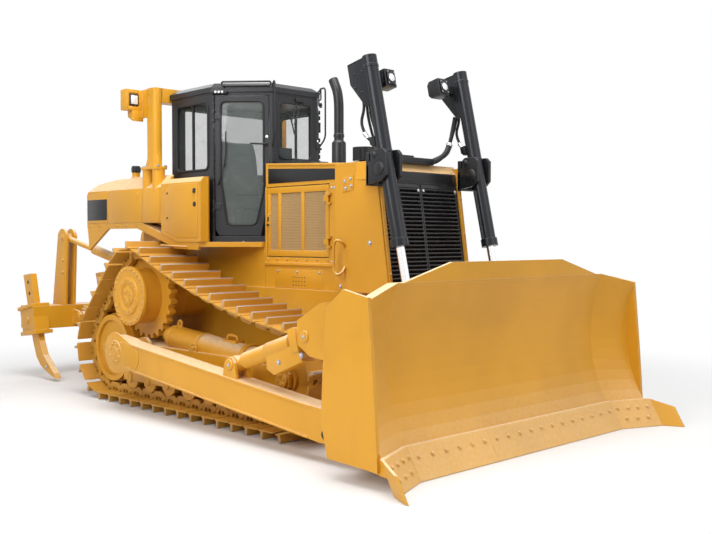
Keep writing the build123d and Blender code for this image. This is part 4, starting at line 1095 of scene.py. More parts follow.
@dataclass
class LiftGear:
    """Oil lines, hoses, port blocks, bands, lamps and yoke plates of the lift cylinders."""

    yoke: Pair = (2186.0, 2300.0)
    eye: Pair = (2571.0, 600.0)
    y: float = 595.0
    lamp_out: float = 180.0
    lamp_back: float = 64.0
    lamp_width: float = 130.0
    lamp_top: float = -919.0
    lamp_height: float = 160.0

    def spot(self, sign: int, along: float, back: float, across: float = 0.0) -> Vector:
        """Point by the cylinder: down its axis, to the rear of it, and across towards the middle."""
        dx = self.eye[0] - self.yoke[0]
        dz = self.eye[1] - self.yoke[1]
        length = math.hypot(dx, dz)
        ux, uz = dx / length, dz / length
        x = self.yoke[0] + ux * along + uz * back
        z = self.yoke[1] + uz * along - ux * back
        return at(x, sign * (self.y - across), z)

    def oil_lines(self, side: str, sign: int) -> None:
        """Formed line from the hose box to the port block above the yoke, with the barrel's bands."""
        shaper = Shaper()
        corners = [self.spot(sign, along, back, across) for along, back, across in ((-640, 118, -30),
                (-560, 128, -30), (-470, 190, -30), (-365, 170, -30), (-280, 120, -24), (-256, 84, -24))]
        shaper.tube(eased(corners, 120, 7), 13, 12)
        start, end = corners[3:5]
        way = end - start
        for a, b, radius in ((0.0, 0.34, 19.0), (0.36, 0.62, 15.5)):
            shaper.turned(start + way * a, way, [(0, radius), (1000 * way.length * (b - a), radius)], 6, 1)
        low, high = -304.0, -218.0
        outline = [self.spot(sign, low, 52, -48), self.spot(sign, low, 112, -48),
                   self.spot(sign, high - 26, 112, -48), self.spot(sign, high, 86, -48),
                   self.spot(sign, high, 52, -48)]
        shaper.prism(outline, by(0, -sign * 96, 0), 5, 2)
        for along in (-914.0, -160.0, 610.0):
            start = self.spot(sign, along, 0)
            way = self.spot(sign, along + 10, 0) - start
            shaper.turned(start, way, [(0, 58), (0, 64), (3, 68), (22, 68), (25, 64), (25, 58)], 32, 3, True)
        self.hose_box(shaper, sign)
        piece = shaper.piece(f"oil_lines_{side}", Finish.RUBBER, Finish.STEEL, Finish.BLACK, Finish.BARREL)
        settle(piece, f"lift_barrel_{side}", Slot.BLACK)

    def guard_hoses(self, side: str, sign: int) -> None:
        """Sleeved hoses from the guard's top to the hose box."""
        shaper = Shaper()
        for across, y, x, drop in ((40.0, 205.0, 1962.0, 0.0), (4.0, 205.0, 1916.0, 26.0)):
            meet = self.spot(sign, -330, 168 + drop, across + 92)
            top = [self.spot(sign, -600, 120, across), self.spot(sign, -500, 150, across + 20), meet]
            shaper.tube(eased(top, 90, 7), 12, 12)
            foot = [meet, self.spot(sign, -250, 172 + drop, across + 150), at(x, sign * (y + 70), 2430),
                    at(x, sign * y, 2418)]
            shaper.tube(eased(foot, 100, 8), 24, 14)
            way = top[1] - meet
            shaper.turned(meet - way.normalized() * mm(6), way, [(0, 27), (30, 27), (34, 18)], 6, 1)
        piece = shaper.piece(f"guard_hoses_{side}", Finish.RUBBER, Finish.STEEL)
        tuple(at(1940, sign * 215, 2420))
        tuple(self.spot(sign, -480, 150, 60))
        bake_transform(piece)
        LOG.info("%s bends between tractor and lift_barrel_%s", piece.name, side)

    def hose_box(self, shaper: Shaper, sign: int) -> None:
        """Open box behind the barrel's top over the hose ends, and the oil pipe along the barrel."""
        top, wide = -982.0, 62.0
        cheek = ((top, 0), (top, 215), (top + 180, 215), (top + 420, 75), (top + 420, 0))
        for across in (-wide, wide - 12):
            outline = [self.spot(sign, along, back, across) for along, back in cheek]
            shaper.prism(outline, by(0, -sign * 12, 0), 2, 3)
        for rows in (((top, 203), (top, 215), (top + 180, 215), (top + 180, 203)),
                     ((top, 60), (top, 215), (top + 12, 215), (top + 12, 60))):
            outline = [self.spot(sign, along, back, -wide) for along, back in rows]
            shaper.prism(outline, by(0, -sign * 2 * wide, 0), 2, 3)
        pipe = [self.spot(sign, along, 0, 82) for along in (150, 600)]
        shaper.tube(pipe, 16, 12, layer=3)
        for along in (170, 580):
            shaper.tube([self.spot(sign, along, 0, 48), self.spot(sign, along, 0, 82)], 14, 10, layer=3)

    def yoke_plate(self, shaper: Shaper, sign: int, bolts: Fasteners) -> None:
        """Bolted plate and rounded cheeks of one yoke."""
        x, z = self.yoke
        shaper.box(at(2029, sign * self.y - 101, z - 135), at(2063, sign * self.y + 101, z + 140), 5)
        cheek = ((2034, -130), (2034, 30), (2080, 66), (2080, 142), (2112, 166), (x + 44, 166), (x + 76, 132),
                 (x + 76, -52), (x + 30, -98), (2120, -112))
        for low in (-101, 69):
            outline = [at(px, sign * self.y + low, z + dz) for px, dz in cheek]
            shaper.prism(outline, by(0, 32, 0), 5)
            outer = sign * self.y + (low if low < 0 else low + 32)
            way = Vector((0, -1 if low < 0 else 1, 0))
            for px, dz, radius in ((x, 0, 54), (2118, 118, 26)):
                shaper.turned(at(px, outer, z + dz), way, [(-2, radius), (9, radius), (13, radius - 6)], 24)
        for y in (-45, 45):
            for dz in (-112, 118):
                bolts.bolt("tractor", at(2063, sign * self.y + y, z + dz), Vector((1, 0, 0)), 13,
                           Finish.BLACK)

    def lamp(self, side: str, sign: int, bolts: Fasteners) -> None:
        """Lamp housing on its arm, with a square bezel and a round lens."""
        shaper = Shaper()
        rows = ((self.lamp_top, -45), (self.lamp_top, 70), (self.lamp_top + 30, 96),
                (self.lamp_top + self.lamp_height - 30, 96), (self.lamp_top + self.lamp_height, 70),
                (self.lamp_top + self.lamp_height, -45))
        shell = [self.spot(sign, along, back + self.lamp_back, self.lamp_out) for along, back in rows]
        shaper.prism(shell, by(0, -sign * self.lamp_width, 0), 6)
        arm = [self.spot(sign, along, back + self.lamp_back, 50)
               for along, back in ((-874, -12), (-874, 60), (-804, 60), (-804, -12))]
        shaper.prism(arm, by(0, -sign * (self.lamp_out - 46), 0), 3)
        top = self.lamp_top + 18
        foot = self.lamp_top + self.lamp_height - 18
        inner = self.lamp_out + 18
        outer = self.lamp_out + self.lamp_width - 18
        ahead_of = self.lamp_back - 50
        face = [self.spot(sign, along, ahead_of, across) for along, across in ((top, inner), (top, outer),
                (foot, outer), (foot, inner))]
        ahead = (self.spot(sign, 0, -10) - self.spot(sign, 0, 0)).normalized()
        shaper.prism(face, ahead * mm(7), 2)
        middle = sum(face, Vector()) / 4
        shaper.turned(middle + ahead * mm(5), ahead, [(0, 44), (9, 44), (11, 40), (6, 38)], 28)
        shaper.turned(middle + ahead * mm(6), ahead, [(0, 38), (5, 37), (9, 26), (10, 8)], 28, 1)
        piece = shaper.piece(f"lift_lens_{side}", Finish.BLACK, Finish.LENS)
        settle(piece, f"lift_barrel_{side}", Slot.BLACK)
        for corner in face:
            place = corner.lerp(middle, 0.2) + ahead * mm(7)
            bolts.bolt(f"lift_barrel_{side}", place, ahead, 5, Finish.STEEL)

    def build(self, bolts: Fasteners) -> None:
        """Dress both cylinders.

        Args:
            bolts: Collection that the bolts go to.
        """
        yokes = Shaper()
        for side, sign in SIDES:
            self.oil_lines(side, sign)
            self.guard_hoses(side, sign)
            self.lamp(side, sign, bolts)
            self.yoke_plate(yokes, sign, bolts)
            for along, back in ((-880, 150), (-760, 160), (-870, 60), (-700, 90)):
                place = self.spot(sign, along, back, -62)
                bolts.bolt(f"lift_barrel_{side}", place, Vector((0, sign, 0)), 7, Finish.BLACK)
        settle(yokes.piece("yoke_plates", Finish.BLACK), "tractor", Slot.BLACK)


@dataclass
class FrontEnd:
    """Guard, hood and side sheets: plates, grille, trim, and the engine doors with their panes."""

    cheek: float = 548.0
    hood_y: float = 400.0
    hood_rear: float = 312.0
    guard_rear: float = 1486.0
    hood_tops: Pair = (2467.0, 2408.0)
    lean: float = 0.144
    door: tuple[float, float, float, float] = (336.0, 1240.0, 1550.0, 2224.0)
    rail: float = 46.0
    narrow: float = 118.0
    pitch: float = 15.0
    wire: float = 8.0

    def hood_top(self, x: float) -> float:
        """Height of the hood's sloping top."""
        rear, front = self.hood_tops
        return rear + (front - rear) * (x - self.hood_rear) / (self.guard_rear - self.hood_rear)

    def guard_front(self, z: float) -> float:
        """X of the guard's leaning front face."""
        return 2057 + (1940 - z) * self.lean

    def plates(self) -> None:
        """Plain black panels, the cowl before the screen, the guard's top box and the radiator core."""
        shaper = Shaper()
        x0, x1, low = self.hood_rear + 40, self.guard_rear - 36, 2264.0
        for _, sign in SIDES:
            face = upright(sign * 399, (x0, low), (x1, low), (x1, self.hood_top(x1) - 52),
                           (x0, self.hood_top(x0) - 52))
            shaper.prism(face, by(0, sign * 5, 0), 1.5)
        z0, z1 = 2222.0, 2306.0
        face = [at(self.guard_front(z0) - 5, -440, z0), at(self.guard_front(z0) - 5, 440, z0),
                at(self.guard_front(z1) - 5, 440, z1), at(self.guard_front(z1) - 5, -440, z1)]
        shaper.prism(face, by(9, 0, 9 * self.lean), 2)
        cowl = [at(300, -290, 2462), at(640, -250, 2446), at(640, 250, 2446), at(300, 290, 2462)]
        shaper.prism(cowl, by(0, 0, 40), 12)
        for y in (-180, -90, 0, 90, 180):
            shaper.box(at(330, y - 34, 2492), at(560, y + 34, 2504), 4)
        shaper.box(at(1880, -212, 2386), at(1992, 212, 2446), 9)
        shaper.box(at(1900, -190, 2440), at(1975, -40, 2462), 6)
        low, high = 1262.0, 2205.0
        core = [at(self.guard_front(z) - push, -498, z) for z, push in ((low, 66), (high, 66), (high, 110),
                (low, 110))]
        shaper.prism(core, by(0, 996, 0), 2)
        for i in range(48):
            y = -480 + 960 * i / 47
            fin = [at(self.guard_front(z) - push, y - 3, z) for z, push in ((low + 20, 52), (high - 20, 52),
                    (high - 20, 68), (low + 20, 68))]
            shaper.prism(fin, by(0, 6, 0))
        settle(shaper.piece("front_plates", Finish.BLACK), "tractor", Slot.BLACK)

    def grille(self) -> None:
        """Louvred panels of round-nosed slats, and the plain plate above them."""
        shaper = Shaper()
        side = self.cheek - 46

        def bar(low: float, high: float, y0: float, y1: float, proud: float) -> None:
            """Leaning bar between two heights and two widths."""
            outline = [at(self.guard_front(z) - push, y0, z) for z, push in ((low, 44), (low, proud),
                    (high, proud), (high, 44))]
            shaper.prism(outline, by(0, y1 - y0, 0), 3)

        for _, sign in SIDES:
            inner, outer = sign * 4, sign * side
            for low, high, y0, y1 in ((1275, 1312, inner, outer), (2172, 2205, inner, outer),
                                      (1275, 2205, inner, sign * 15),
                                      (1275, 2205, sign * (side - 30), outer)):
                bar(low, high, y0, y1, 8)
            for i in range(24):
                z = 1330 + 35.6 * i
                x = self.guard_front(z) - 26
                slat = [at(x + dx, sign * 14, z + dz) for dx, dz in ((-16, -13), (-12, -13), (14, 10),
                        (10, 13))]
                shaper.prism(slat, by(0, sign * (side - 43), 0))
                shaper.tube([at(x + 11, sign * y, z + 11) for y in (14, side - 29)], 7.5, 12)
        bar(2212, 2315, -side, side, 4)
        bar(2200, 2216, -side, side, 14)
        settle(shaper.piece("radiator_grille", Finish.GRILLE), "tractor", Slot.BLACK, "grille")

    def trim(self, bolts: Fasteners) -> None:
        """Hoops, boss pads, access covers, lips, vent holes and knobs of the front end."""
        shaper = Shaper()
        for _, sign in SIDES:
            out = Vector((0, sign, 0))
            hoop = [at(1616, sign * 546, 1648), at(1628, sign * 596, 1692), at(1596, sign * 634, 1712),
                    at(1560, sign * 634, 1672), at(1560, sign * 634, 1440), at(1596, sign * 634, 1398),
                    at(1628, sign * 596, 1418), at(1616, sign * 546, 1471)]
            shaper.tube(eased(hoop, 50, 6), 12, 12)
            pad = upright(sign * 546, (1590, 2130), (1730, 2150), (1730, 2285), (1590, 2262))
            shaper.prism(pad, out * mm(8), 3)
            for x, z in ((1620, 2228), (1690, 2248), (1630, 2166), (1702, 2184)):
                bolts.bolt("tractor", at(x, sign * 554, z), out, 11, Finish.STEEL)
            bolts.bolt("tractor", at(1930, sign * 548, 1684), out, 15, Finish.STEEL)
            bolts.bolt("tractor", at(1560, sign * 548, 1300), out, 12, Finish.STEEL)
            cover = upright(sign * 399, (461, 1248), (1159, 1248), (1159, 1425), (461, 1425))
            shaper.prism(cover, out * mm(5), 2)
            for x in (499, 795, 1115):
                bolts.bolt("tractor", at(x, sign * 404, 1404), out, 9, Finish.STEEL)
            for z in (2192, 1512):
                bolts.row("tractor", at(1282, sign * 400, z), at(1322, sign * 400, z), 2, out, 9,
                          Finish.STEEL)
            bolts.row("tractor", at(345, sign * 400, 1520), at(1225, sign * 400, 1520), 7, out, 8)
            lip = [at(x, sign * 398, self.hood_top(x) - drop)
                   for x, drop in ((352, 22), (1484, 22), (1484, 1), (352, 1))]
            shaper.prism(lip, out * mm(13), 4)
            ledge = upright(sign * 398, (300, 1462), (1480, 1462), (1480, 1492), (300, 1492))
            shaper.prism(ledge, out * mm(16), 3)
            edge = [at(self.guard_front(z) + 1, sign * 500, z) for z in (1256, 2206)]
            shaper.prism([edge[0], edge[0] + by(14, 0, 0), edge[1] + by(14, 0, 0), edge[1]], out * mm(34), 3)
            for z in (1420, 1760, 2090):
                bolts.bolt("tractor", at(self.guard_front(z) + 15, sign * 517, z), Vector((1, 0, self.lean)),
                           9)
        settle(shaper.piece("front_trim", Finish.YELLOW), "tractor", Slot.YELLOW)
        dots = Shaper()
        for _, sign in SIDES:
            # Black discs stand for the vent holes: painted shade of the holes.
            for i in range(5):
                for j in range(3):
                    spot = at(735 + 42 * i, sign * 403, 1276 + 38 * j)
                    dots.turned(spot, Vector((0, sign, 0)), [(0, 7), (2.4, 7), (3, 5)], 8)
            spot = at(self.guard_front(2150) - 14, sign * 34, 2150)
            dots.turned(spot, Vector((1, 0, self.lean)), [(0, 15), (12, 15), (16, 9)], 14, 1)
            knob = at(self.guard_front(2140), sign * 455, 2150)
            dots.turned(knob, Vector((1, 0, self.lean)), [(0, 17), (8, 17), (14, 9)], 16, 1)
        settle(dots.piece("front_vents", Finish.BLACK, Finish.STEEL), "tractor", Slot.BLACK)

    def pane_rule(self) -> Rule:
        """Tree that weaves one pane of upright and level bars."""
        rule = Rule("pane_rule", Columns="NodeSocketInt", Rows="NodeSocketInt", Pitch="NodeSocketFloat",
                    Start="NodeSocketVector", Upright="NodeSocketVector", Level="NodeSocketVector",
                    Finish="NodeSocketMaterial")
        parts = []
        for count, size, axis in (("Columns", "Upright", "X"), ("Rows", "Level", "Z")):
            step = rule.add("ShaderNodeCombineXYZ", sockets={axis: rule.value("Pitch")})
            sockets = {"Count": rule.value(count), "Start Location": rule.value("Start"), "Offset": step}
            line = rule.add("GeometryNodeMeshLine", {"mode": "OFFSET"}, sockets)
            bar = rule.add("GeometryNodeMeshCube", sockets={"Size": rule.value(size)}, output="Mesh")
            shift = rule.add("ShaderNodeVectorMath", {"operation": "MULTIPLY"},
                             {0: rule.value(size), 1: (0.0, 0.0, 0.5) if axis == "X" else (0.5, 0.0, 0.0)},
                             "Vector")
            bar = rule.add("GeometryNodeTransform", sockets={"Geometry": bar, "Translation": shift})
            parts.append(rule.add("GeometryNodeInstanceOnPoints", sockets={"Points": line, "Instance": bar}))
        rule.close(rule.add("GeometryNodeJoinGeometry", sockets={"Geometry": parts}))
        return rule

    def door_frame(self, side: str, sign: int, widths: Sequence[float]) -> None:
        """Rails, back sheet, straps and knuckles of one engine door."""
        shaper = Shaper()
        x0, x1, z0, z1 = self.door
        deep = (sign * (self.hood_y - 30), sign * self.hood_y)

        def bar(a: float, b: float, low: float, high: float, inner: float, outer: float,
                bevel: float = 2.5) -> None:
            """Block of the door between two X, two Z and two Y values."""
            shaper.box(at(a, inner, low), at(b, outer, high), bevel)

        bar(x0, x1, z0, z1, deep[0], sign * (self.hood_y - 14), 0.5)
        bar(x0, x1, z0, z0 + 60, *deep)
        bar(x0, x1, z1 - 60, z1, *deep)
        x = x0
        for width in (*widths, 0.0):
            bar(x, x + self.rail, z0 + 58, z1 - 58, *deep)
            x += self.rail + width
        mid = (z0 + z1) / 2
        bar(x0 + 8, x0 + 40, mid - 80, mid + 80, sign * (self.hood_y - 1), sign * (self.hood_y + 10), 4)
        for z in (1690, 2090):
            bar(x1 - 60, x1 - 4, z - 28, z + 28, sign * (self.hood_y - 1), sign * (self.hood_y + 12), 2)
            shaper.turned(at(x1 + 4, sign * (self.hood_y + 16), z - 30), UP,
                          [(0, 11), (1, 12), (59, 12), (60, 11)], 16)
        piece = shaper.piece(f"engine_door_frame_{side}", Finish.YELLOW)
        settle(piece, f"engine_door_{side}", Slot.YELLOW, f"engine_door_{side}")

    def engine_panes(self) -> None:
        """Engine doors with woven panes in their recesses, black sheets behind the panes as painted shade,
        and the catch of each door.
        """
        rule = self.pane_rule()
        x0, x1, z0, z1 = self.door
        wide = (x1 - x0 - 4 * self.rail - self.narrow) / 2
        low, high = z0 + 62, z1 - 62
        for side, sign in SIDES:
            self.door_frame(side, sign, (self.narrow, wide, wide))
            joined = bmesh.new()
            catch_and_shade_sheets = Shaper()
            x = x0 + self.rail
            for width in (self.narrow, wide, wide):
                inset = 3.0
                columns = int((width - 2 * inset) / self.pitch) + 1
                rows = int((high - low) / self.pitch) + 1
                host = points_object("pane", [])
                y = sign * (self.hood_y - 10)
                rule.run(host, Columns=columns, Rows=rows, Pitch=mm(self.pitch), Start=at(x + inset, y, low),
                         Upright=(mm(self.wire), mm(3), mm(high - low)),
                         Level=(mm(width - 2 * inset), mm(2.4), mm(self.wire)), Finish=Finish.MESH.material())
                joined.from_mesh(host.data)
                bpy.data.objects.remove(host)
                # Black sheet behind each pane: painted shade of the engine bay behind the mesh.
                face = upright(sign * (self.hood_y - 13.6), (x + 1, low), (x + width - 1, low),
                               (x + width - 1, high), (x + 1, high))
                catch_and_shade_sheets.prism(face, by(0, sign * 1, 0))
                x += width + self.rail
            mesh = bpy.data.meshes.new(f"engine_mesh_{side}")
            joined.to_mesh(mesh)
            joined.free()
            mesh.materials.append(Finish.MESH.material())
            settle(link(f"engine_mesh_{side}", mesh), f"engine_door_{side}", Slot.YELLOW)
            mid = (z0 + z1) / 2
            out = Vector((0, sign, 0))
            catch_and_shade_sheets.turned(at(x0 + 24, sign * 409, mid - 28), out, [(0, 13), (12, 13), (15, 10)], 16)
            catch_and_shade_sheets.box(at(x0 + 14, sign * 408, mid + 10), at(x0 + 34, sign * 416, mid + 52), 2)
            piece = catch_and_shade_sheets.piece(f"engine_catch_{side}", Finish.BLACK)
            settle(piece, f"engine_door_{side}", Slot.BLACK)

    def build(self, bolts: Fasteners) -> None:
        """Dress the front end.

        Args:
            bolts: Collection that the bolts go to.
        """
        self.plates()
        self.grille()
        self.trim(bolts)
        self.engine_panes()


@dataclass
class Cab:
    """Seals, rails, wipers, handles and lamps of the cab."""

    hinge: Pair = (-160.0, 710.0)
    front: Pair = (290.0, 300.0)
    head: float = 3157.0
    waist: float = 2420.0
    sill: float = 1860.0

    def door(self, sign: int, u: float, z: float, out: float = 0.0) -> Vector:
        """Point by a door: along it from the hinge post, up, and out from its face."""
        dx = self.front[0] - self.hinge[0]
        dy = self.hinge[1] - self.front[1]
        length = math.hypot(dx, dy)
        ux, uy = dx / length, dy / length
        return at(self.hinge[0] + ux * u + uy * out, sign * (self.hinge[1] - uy * u + ux * out), z)

    def seals(self) -> None:
        """Rubber seals round the fixed panes, and the side windows' dividers."""
        shaper = Shaper()
        high = self.head - 57
        for _, sign in SIDES:
            corners = [at(-800, sign * 704, self.waist), at(-800, sign * 704, high),
                       at(-230, sign * 709, high), at(-230, sign * 709, self.waist)]
            shaper.tube(eased(corners, 62, 6, True), 13, 8, True)
            for x in (-522, -512):
                shaper.box(at(x - 9, sign * 680, self.waist), at(x + 9, sign * 700, high), 3)
        for x, half, low in ((289, 215, self.waist + 110), (-906, 560, self.waist + 20)):
            corners = [at(x, -half, low), at(x, -half, high), at(x, half, high), at(x, half, low)]
            shaper.tube(eased(corners, 62, 6, True), 12, 8, True)
        settle(shaper.piece("pane_seals", Finish.RUBBER), "tractor", Slot.BLACK)

    def door_trim(self, side: str, sign: int) -> None:
        """Seal, lever, lock, wiper and grip of one door."""
        shaper = Shaper()
        high = self.head - 57
        low = self.sill
        length = 608.8
        corners = [self.door(sign, u, z, -2) for u, z in ((85, low + 440), (85, high), (length - 87, high),
                (length - 87, low + 340), (length - 165, low), (150, low))]
        shaper.tube(eased(corners, 62, 6, True), 11, 8, True)
        lever = [self.door(sign, 552, 2668, -2), self.door(sign, 552, 2668, 34),
                 self.door(sign, 520, 2668, 40), self.door(sign, 392, 2674, 34)]
        shaper.tube(eased(lever, 20, 4), 9, 10)
        normal = (self.door(sign, 0, 0, 10) - self.door(sign, 0, 0, 0)).normalized()
        shaper.turned(self.door(sign, 552, 2668, -2), normal, [(0, 24), (12, 22), (16, 15)], 18)
        shaper.turned(self.door(sign, 552, 2742, -1), normal, [(0, 15), (7, 15), (10, 11)], 16, 1)
        arm = [self.door(sign, 62, 2262, -2), self.door(sign, 62, 2270, 16), self.door(sign, 128, 2480, 14)]
        shaper.tube(eased(arm, 20, 4), 6, 8)
        shaper.tube([self.door(sign, 124, 2440, 4), self.door(sign, 140, 2620, 6),
                     self.door(sign, 138, 2800, 4)], 7, 8)
        grip = [self.door(sign, 545, 2080, -2), self.door(sign, 545, 2095, 40),
                self.door(sign, 555, 2440, 40), self.door(sign, 555, 2455, -2)]
        shaper.tube(eased(grip, 30, 4), 9, 10)
        settle(shaper.piece(f"door_trim_{side}", Finish.RUBBER, Finish.CHROME), f"cab_door_{side}",
               Slot.BLACK)

    def hinge_rule(self) -> Rule:
        """Tree that sets one hinge knuckle on each point."""
        rule = Rule("knuckle_rule", Radius="NodeSocketFloat", Length="NodeSocketFloat",
                    Finish="NodeSocketMaterial")
        sockets = {"Vertices": 10, "Radius": rule.value("Radius"), "Depth": rule.value("Length")}
        knuckle = rule.add("GeometryNodeMeshCylinder", sockets=sockets, output="Mesh")
        sockets = {"Points": rule.value("Points"), "Instance": knuckle}
        rule.close(rule.add("GeometryNodeInstanceOnPoints", sockets=sockets))
        return rule

    def hinges(self) -> None:
        """Long hinges up the door posts."""
        points = []
        for _, sign in SIDES:
            for i in range(22):
                z = 1835 + 61 * i
                if min(abs(z - 2050), abs(z - 2950)) > 82:
                    points.append(self.door(sign, 15, z, 16))
        host = points_object("post_hinges", points)
        self.hinge_rule().run(host, Radius=mm(9), Length=mm(44), Finish=Finish.BLACK.material())
        settle(host, "tractor", Slot.CHARCOAL)

    def rails(self) -> None:
        """Roof rails, corner rails, roof grips and the screen's wipers."""
        shaper = Shaper()
        for _, sign in SIDES:
            loop = [self.door(sign, 105, 3248, 34), self.door(sign, 105, 3288, 34),
                    self.door(sign, 600, 3288, 34), self.door(sign, 600, 3248, 34)]
            shaper.tube(eased(loop, 20, 5, True), 10, 10, True)
            for u in (130, 575):
                shaper.tube([self.door(sign, u, 3248, 34), self.door(sign, u, 3226, 10)], 8, 8)
            corner = [at(286, sign * 296, 3228), at(330, sign * 318, 3284), at(376, sign * 336, 3290),
                      at(376, sign * 336, 2765), at(296, sign * 298, 2650), at(282, sign * 292, 2650)]
            shaper.tube(eased(corner, 50, 6), 9, 10)
            grip = [at(-830, sign * 570, 3262), at(-800, sign * 570, 3293), at(-520, sign * 560, 3299),
                    at(-330, sign * 560, 3293), at(-300, sign * 560, 3262)]
            shaper.tube(eased(grip, 40, 5), 8, 10)
            lamp = [self.door(sign, u, z, 12) for u, z in ((0, 3168), (150, 3168), (164, 3186), (150, 3204),
                    (0, 3204), (-14, 3186))]
            depth = self.door(sign, 0, 0, 46) - self.door(sign, 0, 0, 12)
            shaper.prism(lamp, depth, 6, 1)
            for u in (45, 78, 111):
                shaper.turned(self.door(sign, u, 3186, 44), depth, [(0, 11), (5, 11), (7, 7)], 14, 2)
        for y0, y1, z0, z1 in ((29, -65, 3140, 2905), (82, -30, 3132, 2880)):
            shaper.tube([at(300, y0, z0), at(306, y1, z1)], 5, 8)
        shaper.tube([at(299, -88, 2990), at(301, -50, 2890), at(299, -20, 2790)], 7, 8)
        shaper.box(at(286, 0, 3116), at(312, 110, 3158), 5, 1)
        settle(shaper.piece("cab_rails", Finish.BLACK, Finish.RUBBER, Finish.LENS), "tractor", Slot.BLACK)

    def build(self) -> None:
        """Dress the cab."""
        self.seals()
        for side, sign in SIDES:
            self.door_trim(side, sign)
        self.hinges()
        self.rails()


@dataclass
class Seat:
    """Driver's seat, padded and sewn, with levers and the dash."""

    x: float = -905.0
    floor: float = 1748.0
    half: float = 240.0
    grid: int = 28

    def cushion(self, shaper: Shaper, frame: Callable[[float, float, float], Vector], channels: int) -> None:
        """Add one crowned cushion with sewn channels.

        Args:
            shaper: Piece that it goes to.
            frame: Point of a length, width and height share.
            channels: Number of sewn channels across its face.
        """
        rows = []
        count = self.grid
        for i in range(count + 1):
            row = []
            for j in range(count + 1):
                u, v = 2 * i / count - 1, 2 * j / count - 1
                swell = ((1 - abs(u) ** 4) * (1 - abs(v) ** 4)) ** 0.35
                pull = 1 - 0.03 * (1 - abs(u)) * abs(v) ** 6 - 0.03 * (1 - abs(v)) * abs(u) ** 6
                seam = 0.0
                if abs(v) < 0.62:
                    seam = 0.13 * abs(math.cos(math.pi * channels * (u + 1) / 2)) ** 12
                border = 0.16 * math.exp(-((abs(v) - 0.64) / 0.03) ** 2)
                row.append((u * pull, v * pull, max(0.0, swell - seam - border * (abs(u) < 0.95))))
            rows.append(row)
        top = [[shaper.mesh.verts.new(frame(u, v, 0.35 + 0.65 * h)) for u, v, h in row] for row in rows]
        low = [[shaper.mesh.verts.new(frame(0.97 * u, 0.97 * v, 0.0)) for u, v, _ in row] for row in rows]
        faces = []
        for i in range(count):
            for j in range(count):
                faces.append(shaper.mesh.faces.new((top[i][j], top[i + 1][j], top[i + 1][j + 1],
                        top[i][j + 1])))
                faces.append(shaper.mesh.faces.new((low[i][j], low[i][j + 1], low[i + 1][j + 1],
                        low[i + 1][j])))
        rim = [(0, j) for j in range(count)] + [(i, count) for i in range(count)]
        rim += [(count, j) for j in range(count, 0, -1)] + [(i, 0) for i in range(count, 0, -1)]
        for (a, b), (c, d) in zip(rim, rim[1:] + rim[:1]):
            faces.append(shaper.mesh.faces.new((low[a][b], low[c][d], top[c][d], top[a][b])))
        bmesh.ops.recalc_face_normals(shaper.mesh, faces=faces)

    def build(self) -> None:
        """Make the seat and the controls."""
        shaper = Shaper()
        base = self.floor + 294

        def bench(u: float, v: float, h: float) -> Vector:
            """Point of the seat cushion."""
            return at(self.x + 452 + u * 190, v * self.half, base + h * 132 + 10 * (u + 1) / 2)

        def rest(u: float, v: float, h: float) -> Vector:
            """Point of the backrest."""
            narrow = 1 - 0.12 * max(0.0, u) ** 2
            lean = -70 * (u + 1) / 2
            return at(self.x + 228 + lean + h * 118, v * self.half * narrow, base + 120 + (u + 1) / 2 * 618)

        self.cushion(shaper, bench, 4)
        self.cushion(shaper, rest, 5)
        piece = shaper.piece("driver_seat", Finish.CLOTH, crease=60.0)
        settle(piece, "tractor", Slot.BLACK)
        controls = Shaper()
        controls.box(at(self.x + 265, -190, self.floor - 2), at(self.x + 575, 190, self.floor + 290), 14)
        console = ((185, 0), (185, 580), (480, 580), (570, 500), (590, 180), (560, 0))
        for sign in (-1, 1):
            outline = [at(self.x + x, sign * 430, self.floor + z) for x, z in console]
            controls.prism(outline, by(0, -sign * 130, 0), 12)
            root = at(self.x + 500, sign * 365, self.floor + 560)
            controls.turned(root, UP, [(0, 44), (20, 40), (60, 16), (130, 13)], 16)
            controls.turned(root + by(0, 0, 120), Vector((0.1, 0, 1)),
                            [(0, 14), (12, 24), (80, 26), (110, 20), (118, 8)], 16)
            controls.box(at(self.x + 200, sign * 365 - 60, self.floor + 580),
                         at(self.x + 470, sign * 365 + 60, self.floor + 612), 12)
        controls.prism(upright(-230, (110, self.floor + 2), (225, self.floor + 2), (225, self.floor + 780),
                               (150, self.floor + 790), (110, self.floor + 700)), by(0, 460, 0), 14)
        controls.box(at(140, -120, self.floor + 790), at(170, 60, self.floor + 910), 8)
        for y in (-70, 70):
            controls.box(at(20, y - 45, self.floor + 60), at(105, y + 45, self.floor + 78), 5)
            controls.tube([at(112, y, self.floor + 180), at(60, y, self.floor + 72)], 11, 8)
        settle(controls.piece("cab_controls", Finish.PLASTIC), "tractor", Slot.BLACK)


